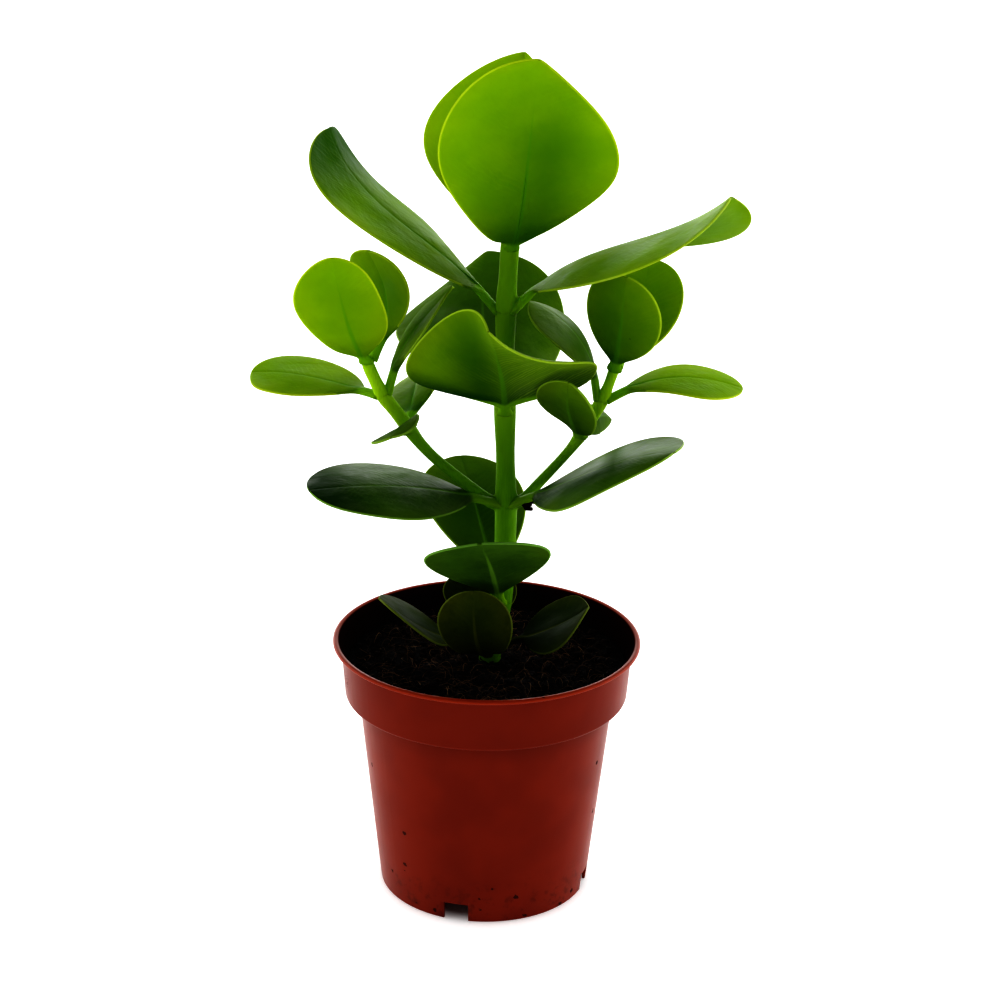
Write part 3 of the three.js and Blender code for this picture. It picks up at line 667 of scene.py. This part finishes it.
SOIL_LEAVES = {
    "soil_front": dict(at=[1.4, 96.5], bearing=-103, rise=28, arch=64, bend=8, swing=-7, roll=-11,
        twist=14, length=47, width=29, petiole=10.5, fold=[-8, 8], curl=[58, -9], cup=[-12, -34],
        base=[0.74, 0.74], end=[0.56, 0.52], sway=[[0, -0.02], [-0.04, -0.04]]),
    "soil_back": dict(at=[1.4, 98], bearing=100, rise=25, arch=28, length=37, width=30),
    "soil_left": dict(at=[1.6, 100], bearing=195, rise=15, arch=26, bend=8, swing=-7, roll=3, twist=-9,
        length=48, width=40, petiole=12.5, fold=[9, 5], curl=[0, -4], cup=[-5, -4], base=[0.76, 0.86],
        end=[0.42, 0.7], sway=[[-0.08, 0.16], [0.06, 0.02]]),
    "soil_right": dict(at=[2.4, 100], bearing=-5, rise=19, arch=23, bend=-1, roll=-11, twist=10,
        length=39, width=36, petiole=9.5, fold=[-1, 6], curl=[21, 9], cup=[3, -21], base=[0.54, 0.72],
        end=[0.58, 0.74], sway=[[0, 0.04], [0, -0.02]]),
}
MAIN_LEAVES = {
    "low_front": dict(at=[5.3, 118], bearing=-98, rise=47, arch=-18, swing=1, roll=-11, twist=3,
        length=75, width=47, fold=[5, 5], curl=[0, -4], cup=[-13, -8], end=[0.52, 0.48],
        sway=[[0, 0], [0, 0.02]], age=0.85),
    "low_back": dict(at=[5.3, 119], bearing=105, rise=33, arch=-9, twist=-5, length=74, width=42,
        fold=[11, 12], curl=[-11, -3], age=0.5, half_shade=0.6),
    "mid_left": dict(at=[6.6, 159], bearing=200, rise=19, arch=-22, swing=-3, roll=8, twist=-13,
        length=76, width=59, fold=[-1, 3], curl=[-1, 0], end=[0.54, 0.48],
        sway=[[-0.08, 0.02, -0.02], [0, -0.02, 0.02]], age=0.7, half_shade=[0.3, 0.1], waxy=[0.25, 2.6],
        tip_shade=0.9),
    "mid_right": dict(at=[6.6, 159], bearing=-32, rise=29, arch=-17, bend=8, swing=6, roll=-12, twist=11,
        length=75, width=60, fold=[-4, 2], curl=[-3, 0], cup=[4, -11], base=[0.9, 0.84],
        end=[0.46, 0.58], sway=[[0.02, 0.04, -0.02], [0.08, -0.02, -0.04]], age=0.6, half_shade=[0.1, 0.8],
        waxy=[2.6, 0.2]),
    "high_front": dict(at=[5.6, 196], bearing=-91, rise=34, arch=-1, bend=4, swing=-9, twist=-33,
        length=90, width=66, petiole=13, fold=[16, 4], curl=[-85, 89], cup=[-8, 12], base=[0.18, 0.24],
        end=[0.78, 0.62], sway=[[0.1, 0], [0.04, 0.06]], age=0.3, half_shade=[0.35, 0.8], veined=[7, 1],
        waxy=[0.5, 0.1]),
    "high_back": dict(at=[5.6, 197], bearing=106, rise=30, arch=10, bend=-10, swing=-24, roll=-11,
        twist=12, length=86, width=69, petiole=10, fold=[6, -5], curl=[-32, 15], cup=[-21, -26],
        base=[0.64, 0.56], end=[0.76, 0.42], age=0.5, half_shade=0.5, waxy=0.8),
    "upper_left": dict(at=[5.4, 234], bearing=164, rise=46, arch=26, bend=-25, swing=-10, roll=-4,
        twist=-10, length=95, width=73, fold=[0, 8], curl=[-3, -9], cup=[-5, -22], base=[0.76, 1.1],
        end=[0.46, 0.3], sway=[[-0.08, -0.02, 0.02], [0.08, 0.04, -0.1]], age=0.2, half_shade=[0.2, 0.1],
        waxy=[1.0, 1.3], tip_shade=0.8),
    "upper_right": dict(at=[5.4, 235], bearing=-21, rise=49, arch=-6, bend=-24, swing=2, roll=-7,
        twist=18, length=97, width=68, fold=[-4, -2], curl=[-13, -9], cup=[-16, -17], base=[0.82, 0.86],
        end=[0.42, 0.5], sway=[[-0.12, 0], [0.02, 0.02]], age=0.15, half_shade=[0.2, 0.1], waxy=3.4),
    "top_front": dict(at=[6.5, 259.6], bearing=-81, rise=35, arch=20, bend=17, roll=5, twist=17,
        length=96, width=62, petiole=4.5, fold=[18, -11], curl=[-22, 9], cup=[-20, -26],
        base=[0.88, 0.88], end=[0.72, 0.58], sway=[[0, -0.04, -0.03, -0.02], [0, -0.06, -0.04, 0]],
        age=0, half_shade=[0.55, 0.35], waxy=0.12),
    "top_back": dict(at=[6.5, 260], bearing=94, rise=41, arch=7, bend=-4, swing=-18, roll=-8, twist=-24,
        length=89, width=68, petiole=5.5, fold=[-39, -15], cup=[-16, -30], base=[0.84, 0.66],
        end=[0.54, 0.56], sway=[[0.1, -0.12], [0.08, -0.08]], age=0, half_shade=0.1, waxy=0.12),
}
SIDE_LEAVES = {
    "left_low_front": dict(at=[-30.4, 188], bearing=-103, rise=23, arch=-23, swing=10, roll=-34,
        twist=-15, length=33, width=21, petiole=6.5, curl=[-45, 16], cup=[0, 0], base=[0.86, 0.58],
        end=[0.54, 0.46], sway=[[0, 0], [0.02, 0.08]]),
    "left_low_back": dict(at=[-30.4, 189], bearing=88, rise=24, arch=-25, swing=-5, roll=14, twist=14,
        length=41, width=21, petiole=6, age=0.1, waxy=2.4),
    "left_mid_left": dict(at=[-40.2, 200.8], bearing=146, rise=3, arch=-10, bend=6, swing=30, length=55,
        width=40, fold=[0, 3], curl=[0, 7], cup=[-14, -6], end=[0.46, 0.52],
        sway=[[-0.08, 0.02, -0.02], [-0.02, 0, 0]], age=0, half_shade=[0.2, 0], waxy=0.8),
    "left_mid_right": dict(at=[-40.2, 202], bearing=21, rise=74, arch=-26, bend=-10, swing=-10,
        length=48, width=32, fold=[0, 9], curl=[6, 13], cup=[-22, -6], base=[0.76, 0.96], age=0.35,
        waxy=0.08),
    "left_top_front": dict(at=[-46, 215], bearing=-101, rise=34, arch=37, bend=4, swing=-12, roll=-7,
        twist=-3, length=63, width=32, fold=[8, 3], cup=[-7, -17], base=[0.84, 0.64],
        sway=[[-0.04, 0.08], [0.04, -0.12]], age=0, half_shade=0.1, waxy=0.12),
    "left_top_back": dict(at=[-46, 215], bearing=27, rise=62, arch=59, bend=10, roll=-9, length=45,
        width=37, fold=[9, 6], base=[1.0, 1.0], end=[0.48, 0.38], age=0.1),
    "right_low_front": dict(at=[34.6, 187], bearing=-107, rise=40, arch=11, bend=-6, swing=17, roll=18,
        twist=-2, length=49, width=25, petiole=4.5, fold=[1, 0], curl=[-10, 23], cup=[-18, -13],
        base=[0.56, 1.1], end=[0.46, 0.76], sway=[[-0.05, -0.05], [0.07, 0.05]], age=0.45),
    "right_low_back": dict(at=[34.8, 187.5], bearing=74, rise=6, arch=-35, swing=-4, roll=-53, twist=3,
        length=42, width=14, petiole=2, fold=[-13, -23], curl=[4, -15], cup=[-12, -13],
        base=[0.86, 0.74], end=[0.5, 0.62], sway=[[0, 0], [-0.06, 0.02]]),
    "right_mid_right": dict(at=[42, 200.6], bearing=12, rise=25, arch=-44, bend=-4, swing=-15, length=54,
        width=38, fold=[3, 3], cup=[-9, -10], base=[0.92, 0.88], end=[0.5, 0.56],
        sway=[[-0.04, -0.02, -0.04], [0.12, -0.08, -0.02]], age=0, half_shade=[0, 0.1], waxy=0.5),
    "right_mid_left": dict(at=[42, 201], bearing=170, rise=81, arch=-63, bend=-2, twist=-3, length=48,
        width=40, fold=[0, 2], curl=[-5, -7], cup=[-13, -17], age=0.4, waxy=1),
    "right_top_front": dict(at=[46.2, 213.5], bearing=-88, rise=38, arch=21, bend=4, roll=19, twist=21,
        length=61, width=30, fold=[8, 6], curl=[16, 4], cup=[-17, -10], age=0.2, half_shade=[0.4, 0.6],
        waxy=0.1),
    "right_top_back": dict(at=[46.2, 213.5], bearing=71, rise=9, arch=43, bend=9, swing=4, roll=-9,
        twist=7, length=58, width=32, fold=[7, 4], cup=[-14, -10], end=[0.62, 0.46], age=0.1),
}
PETIOLE_HALF_WIDE = 2.3
PETIOLE_HALF_THICK = 1.6
BLADE_HALF_THICK = 0.45
KEEL = 0.9
HALF_COLUMNS = 22
BLADE_STATIONS = 54
FIRST_STATION = 0.35             # how many spacings past the stalk the blade's first station is
MARGIN_ROUND = 0.6               # how far in from the margin the blade reaches its full thickness
SPREAD_BY = 8.0                  # half width at which the stalk has wholly become blade
GROOVE = 0.14                    # depth of the groove above the midrib
BLADE_END = 0.9995               # blade fraction where the tip is closed
RIB_FADE = 9.0                   # how far beside the midrib the halves' looks run into each other


def heading(leaf, t):
    """Unit heading of the midrib at blade fraction t: its climb is rise + arch t + bend 4t(1-t) and
    its bearing turns by swing t."""
    climb = np.radians(leaf["rise"] + leaf["arch"] * t + leaf["bend"] * 4 * t * (1 - t))
    bearing = np.radians(leaf["bearing"] + leaf["swing"] * t)
    return np.stack([np.cos(climb) * np.cos(bearing), np.cos(climb) * np.sin(bearing), np.sin(climb)], -1)


def blade_fraction(leaf, s):
    """Share of the blade passed at distance s along the leaf, 0 all along the stalk."""
    return np.maximum(0, (s - leaf["petiole"]) / (leaf["length"] - leaf["petiole"]))


def half_width(leaf, t, side):
    """Width of the blunt blade's left (0) or right (1) half: t^base (1-t)^end, scaled to the leaf's
    width and swayed by sines that make 1, 2, 3... half waves along the leaf."""
    base, end, sway = (np.array(leaf[key])[side] for key in ("base", "end", "sway"))
    widest = base / (base + end)
    peak = widest ** base * (1 - widest) ** end
    half_waves = np.arange(sway.shape[-1]) + 1
    swayed = 1 + (sway * np.sin(np.pi * half_waves * t[..., None])).sum(-1)
    return leaf["width"] / 2 * t ** base * (1 - t) ** end / peak * swayed


def blade_skin(leaf, s, column):
    """Points of the leaf's middle sheet at distances s and columns -1..1 across, with the sheet's
    normal, the distance from the midrib and from the margin, and how far the blade is spread. Each
    half leaves the midrib at its fold angle and bends on by `cup` along a circle."""
    t = blade_fraction(leaf, s)
    steps = 24
    middle = (np.arange(steps) + 0.5) / steps
    ways = heading(leaf, blade_fraction(leaf, s[:, None] * middle))
    turn = np.radians(leaf["bearing"])
    outward = np.array([np.cos(turn), np.sin(turn), 0])
    start = np.array([leaf["at"][0], 0, leaf["at"][1]]) + leaf["sunk"] * outward
    midrib = start + ways.mean(1) * s[:, None]
    along = heading(leaf, t)
    bearing = np.radians(leaf["bearing"] + leaf["swing"] * t)
    level = np.stack([np.sin(bearing), -np.cos(bearing), 0 * bearing], -1)
    roll = np.radians(leaf["roll"] + leaf["twist"] * t)[:, None]
    right = level * np.cos(roll) + np.cross(level, along) * np.sin(roll)
    up = np.cross(right, along)
    side = (column >= 0).astype(int)
    blade = half_width(leaf, t[:, None], side)
    clasp = 1 + 0.35 * np.exp(-(s / 3.0) ** 2)
    reach = np.hypot(blade, (PETIOLE_HALF_WIDE * leaf["stout"] * (1 - 0.8 * t) * clasp)[:, None])
    spread = np.where(t[:, None] < 0.5, np.minimum(1, blade / SPREAD_BY), 1)
    fold, curl, cup = (np.array(leaf[key])[side] for key in ("fold", "curl", "cup"))
    u, sign = np.abs(column), np.sign(column)
    first = spread * np.radians(fold + curl * t[:, None] ** 2)
    gain = spread * np.radians(cup) + 1e-6
    across = sign * reach * (np.sin(first + gain * u) - np.sin(first)) / gain
    height = reach * (np.cos(first) - np.cos(first + gain * u)) / gain
    tilt = np.where(u < 1e-9, 0, first + gain * u)
    points = midrib[:, None] + right[:, None] * across[..., None] + up[:, None] * height[..., None]
    normal = up[:, None] * np.cos(tilt)[..., None] - right[:, None] * (sign * np.sin(tilt))[..., None]
    return points, normal, reach * u, reach * (1 - u), spread


def leaf_mesh(name, leaf):
    """Closed skin of a leaf: the middle sheet pushed out to both faces, rounded at the margin, with
    a keel below the midrib and a groove above it, and its stalk a flattened round."""
    half = (1 - np.cos(np.pi * np.linspace(0, 1, HALF_COLUMNS + 1))) / 2
    column = np.concatenate([-half[:0:-1], half])
    stalk = np.linspace(0, leaf["petiole"], 9)[:-1]
    way = (np.arange(BLADE_STATIONS) + FIRST_STATION) / (BLADE_STATIONS - 1 + FIRST_STATION)
    t = BLADE_END * np.sin(np.pi / 2 * way)
    s = np.concatenate([stalk, leaf["petiole"] + t * (leaf["length"] - leaf["petiole"])])
    sheet, normal, from_rib, from_margin, spread = blade_skin(leaf, s, column)
    t = blade_fraction(leaf, s)[:, None]
    round_off = np.sqrt(1 - np.clip(1 - from_margin / MARGIN_ROUND, 0, 1) ** 2)
    stout = leaf["stout"]
    petiole = PETIOLE_HALF_THICK * stout * np.sqrt(1 - column ** 2)
    thick = (1 - spread) * petiole + spread * BLADE_HALF_THICK * round_off
    keel = spread * KEEL * stout * (1 - t) * np.exp(-(from_rib / (1.1 + 1.3 * stout * (1 - t))) ** 2)
    groove = spread * GROOVE * np.exp(-(from_rib / 0.8) ** 2) * round_off
    upper = sheet + normal * (thick - groove)[..., None]
    lower = sheet - normal * (thick + keel * round_off)[..., None]
    ring = np.concatenate([upper, lower[:, -2:0:-1]], 1)
    rows, count = ring.shape[:2]
    last = len(column) - 1
    faces = net(rows, count, True).tolist()
    for start, step in ((0, 1), ((rows - 1) * count, -1)):
        lid = [[k, count - k, count - k - 1, k + 1] for k in range(1, last - 1)]
        lid += [[0, count - 1, 1], [last - 1, last + 1, last]]
        faces += [[start + k for k in corners[::step]] for corners in lid]

    def both_faces(values):
        """Numbers of the middle sheet's grid, for the ring's upper and lower points."""
        grid = np.broadcast_to(values, sheet.shape[:2])
        return np.concatenate([grid, grid[:, -2:0:-1]], 1).ravel()

    def for_halves(label):
        """A leaf's numbers for its [left, right] halves, run into each other beside the midrib."""
        halves = np.broadcast_to(np.array(leaf[label], float), 2)
        own = halves[(column >= 0).astype(int)]
        return both_faces(halves.mean() + (own - halves.mean()) * np.clip(from_rib / RIB_FADE, 0, 1))

    marks = {
        "along": both_faces(s[:, None]), "blade_t": both_faces(t),
        "off_rib": both_faces(from_rib), "margin": both_faces(from_margin + 9 * (1 - spread)),
        "half_shade": for_halves("half_shade"), "veined": for_halves("veined"), "waxy": for_halves("waxy"),
        "tip_shade": both_faces(leaf["tip_shade"]),
        "upper_face": np.tile(np.arange(count) <= last, rows).astype(float),
    }
    return drawn_mesh(name, ring.reshape(-1, 3), faces, False, marks.items())


PAST_OLD = np.array([-0.3, 0.7, 1.2])  # share of red, green and blue that a leaf loses past age 1
VEIN_SPACING = 2.6
VEIN_SLANT, VEIN_BOW, VEIN_WANDER = 0.75, 0.006, 9.0
DARK_REACH = 29.0                # how far beside the midrib the darkening reaches


def leaf_skin(name, age):
    """Leathery leaf, from young (0) to old (1): mottled green above and paler below, with painted shade
    beside its midrib and stalk and on its tip, yellower towards its margin, faint close side veins that run
    out at a slant from a pale midrib, a thin bright margin, rare dark specks, a waxy sheen, and light let
    through."""
    material, tree, place = blank_material(name)

    def aged(young, old):
        """Colour between a young leaf's and an old one's, browner for one that is past old."""
        colour = np.array(young) + (np.array(old) - np.array(young)) * min(age, 1)
        return rgb(*(colour * (1 - PAST_OLD * max(age - 1, 0))))

    labels = ("blade_t", "off_rib", "margin", "upper_face", "half_shade")
    t, off_rib, edge, face, half_shade = (mark(tree, label) for label in labels)
    grown = 1.0 if age < 1 else 0.0  # a leaf past old has lost its bright stalk
    clouds = ramp(noise(place, 42, 5, 0.6), 0.3, 0.7)
    fine = noise(place, 700, 3)
    slant = calc("SUBTRACT", mark(tree, "along"), times(off_rib, VEIN_SLANT))
    bowed = calc("SUBTRACT", slant, times(calc("POWER", off_rib, 2.0), VEIN_BOW))
    vein_way = calc("ADD", bowed, times(noise(place, 60, 4, 0.6), VEIN_WANDER))
    wave = calc("SINE", times(vein_way, 2 * np.pi / VEIN_SPACING))
    veins = calc("POWER", calc("MULTIPLY_ADD", wave, 0.5, 0.5), 3.0)
    vein_patches = ramp(noise(place, 35, 2), 0.40, 0.66)
    strong = ramp(mark(tree, "veined"), 1.0, 6.0)
    row = add_node(tree, "CombineXYZ", in_X=vein_way)
    uneven = ramp(noise(row.outputs[0], 0.22, 2), 0.38, 0.62, 0.25, 1.0)
    veins = times(times(veins, uneven), calc("MAXIMUM", vein_patches, strong))
    above = blend(clouds, aged((132, 166, 4), (38, 70, 28)), aged((156, 182, 4), (58, 98, 44)))
    below = blend(clouds, aged((132, 166, 4), (58, 92, 34)), aged((156, 184, 6), (78, 116, 46)))
    colour = blend(ramp(face, 0.3, 0.7), below, above)
    near_edge = times(ramp(edge, 11.0, 0.0), ramp(clouds, 0.0, 1.0, 0.25, 0.6))
    colour = blend(near_edge, colour, aged((170, 184, 6), (78, 106, 32)))
    mottled = ramp(noise(place, 170, 4, 0.6), 0.45, 0.7, 0.0, 0.1 + 0.2 * age)
    colour = blend(mottled, colour, aged((96, 146, 4), (20, 46, 12)))
    # painted shade: darker near the stalk and beside the midrib by each half's half_shade, and towards the
    # tip by tip_shade
    near_stalk = times(ramp(t, 0.45, 0.0), calc("MULTIPLY_ADD", half_shade, 0.9, 0.3))
    near_rib = times(ramp(off_rib, DARK_REACH, 4.0, 0.25, 1.0), ramp(t, 1.0, 0.5, 0.3, 1.0))
    near_rib = times(near_rib, half_shade)
    # painted shade towards a curled tip, which also loses most of its sheen
    near_tip = times(ramp(t, 0.5, 0.95), mark(tree, "tip_shade"))
    painted_shade = calc("MAXIMUM", calc("MAXIMUM", near_stalk, near_rib), near_tip)
    colour = blend(painted_shade, colour, aged((30, 104, 2), (14, 38, 8)))
    vein_share = times(veins, times(mark(tree, "veined"), 0.13))
    colour = blend(vein_share, colour, aged((190, 214, 70), (104, 140, 64)))
    rib_width = ramp(t, 0.0, 1.0, 1.3, 0.25)
    on_rib = ramp(calc("DIVIDE", off_rib, rib_width), 1.0, 0.4)
    faded = times(on_rib, ramp(t, 0.95, 0.4, 0.0, 0.3 + 0.45 * grown))
    colour = blend(faded, colour, aged((92, 150, 10), (116, 156, 62)))
    stalk = ramp(t, 0.05, 0.0, 0.0, grown)
    colour = blend(times(stalk, 0.9), colour, aged((150, 196, 20), (120, 164, 20)))
    rim = ramp(edge, 0.75, 0.25, 0.0, 0.9 - 0.25 * age)
    colour = blend(rim, colour, aged((206, 220, 60), (120, 174, 90)))
    colour = blend(times(specks(place, 75.0, 0.78, 0.11, -0.01), 0.9), colour, rgb(16, 14, 6))
    relief = calc("ADD", times(veins, 0.12), times(fine, 0.1))
    relief = calc("ADD", calc("ADD", relief, times(noise(place, 95, 2), 1.8)), clouds)
    skin = bump(relief, 0.5, 0.0006)
    dull = calc("ADD", calc("MULTIPLY_ADD", clouds, 0.08, 0.42), times(fine, 0.08))
    dull = calc("ADD", dull, ramp(face, 0.3, 0.7, 0.12, 0.0))
    wax_patches = ramp(noise(place, 55, 2), 0.42, 0.62, 0.03, 0.16)
    waxed = times(mark(tree, "waxy"), calc("MULTIPLY_ADD", near_tip, -0.85, 1.0))
    surface = surfaced(colour, dull, skin, in_Specular_IOR_Level=times(wax_patches, waxed))
    # the light let through is darker under the painted shade too
    lit_through = blend(painted_shade, aged((182, 216, 2), (96, 144, 70)), aged((42, 124, 0), (28, 56, 18)))
    lit_through = blend(stalk, lit_through, aged((150, 200, 10), (140, 190, 10)))
    lit_through = blend(times(rim, 0.6), lit_through, aged((230, 240, 70), (160, 180, 40)))
    through = add_node(tree, "BsdfTranslucent", in_Color=lit_through, in_Normal=skin)
    share = 0.46 - 0.2 * age
    mixed = add_node(tree, "MixShader", in_0=share, in_1=surface.outputs[0], in_2=through.outputs[0])
    return finished(material, mixed)


leaf_groups = [(PLAIN_SOIL_LEAF, SOIL_LEAVES), (PLAIN_LEAF, MAIN_LEAVES), (PLAIN_SIDE_LEAF, SIDE_LEAVES)]
leaf_finishes = {}
for plain, group in leaf_groups:
    for own_name, own in group.items():
        leaf = dict(plain, **own)
        age = leaf["age"]
        if age not in leaf_finishes:
            leaf_finishes[age] = leaf_skin(f"leaf_skin_{round(age * 100)}", age)
        mesh = leaf_mesh(own_name, leaf)
        piece = shown_piece("clusia_leaf_" + own_name, mesh, leaf_finishes[age])
        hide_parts("leaf_" + own_name)

# ---- floor, light and camera -------------------------------------------------------------------
# A plain white sweep that glows a little all round the pot but not under it, painted light that also
# lights the pot from below, under soft light that comes mostly from behind and both sides.
FLOOR_CORNERS = [(-6, -6, 0), (6, -6, 0), (6, 6, 0), (-6, 6, 0)]
floor_mesh = bpy.data.meshes.new("floor")
floor_mesh.from_pydata(FLOOR_CORNERS, [], [(0, 1, 2, 3)])
paper, tree, place = blank_material("white_paper")
from_pot = add_node(tree, "VectorMath", operation="LENGTH", in_0=place).outputs["Value"]
# painted light: the floor glows, though it is no lamp, everywhere but under the pot
surface = add_node(
    tree, "BsdfPrincipled", in_Base_Color=(0.92, 0.92, 0.92, 1), in_Roughness=0.9,
    in_Emission_Color=(1, 1, 1, 1), in_Emission_Strength=ramp(from_pot, 0.034, 0.046, 0.0, 0.35),
)
surface.inputs["Specular IOR Level"].default_value = 0.1
floor_mesh.materials.append(finished(paper, surface))
floor = bpy.data.objects.new("floor", floor_mesh)
bpy.context.scene.collection.objects.link(floor)

room = bpy.data.worlds.new("studio_light")
bpy.context.scene.world = room
room.use_nodes = True
tree = room.node_tree
tree.nodes.clear()
way = add_node(tree, "TexCoord").outputs["Generated"]
direction = add_node(tree, "SeparateXYZ", in_Vector=way).outputs
behind = ramp(direction["Y"], -0.55, 0.65, 0.36, 3.1)
sides = ramp(calc("ABSOLUTE", direction["X"]), 0.5, 1.0, 0.0, 1.5)
overhead = ramp(direction["Z"], 0.08, 0.52, 1.0, 0.25)
power = times(calc("ADD", behind, sides), overhead)
lit = add_node(tree, "Background", in_Color=(1, 1, 1, 1), in_Strength=power)
seen = add_node(tree, "Background", in_Color=(1, 1, 1, 1), in_Strength=1.6)
by_eye = add_node(tree, "LightPath").outputs["Is Camera Ray"]
both = add_node(tree, "MixShader", in_0=by_eye, in_1=lit.outputs[0], in_2=seen.outputs[0])
tree.links.new(both.outputs[0], add_node(tree, "OutputWorld").inputs[0])
bpy.context.scene.view_settings.view_transform = "Standard"
bpy.context.scene.view_settings.look = "Very High Contrast"

CAMERA_AT = (0.0043, -0.8477, 0.4725)
CAMERA_DOWN = 20.23
CAMERA_ROLL = 0.92
lens = bpy.data.cameras.new("camera")
lens.lens, lens.sensor_width = 85.07, 36.0
lens.clip_start, lens.clip_end = 0.05, 30.0
camera = bpy.data.objects.new("camera", lens)
tilt = Matrix.Rotation(np.radians(90 - CAMERA_DOWN), 4, "X")
roll = Matrix.Rotation(np.radians(CAMERA_ROLL), 4, "Z")
camera.matrix_world = Matrix.Translation(CAMERA_AT) @ tilt @ roll
bpy.context.scene.collection.objects.link(camera)
bpy.context.scene.camera = camera
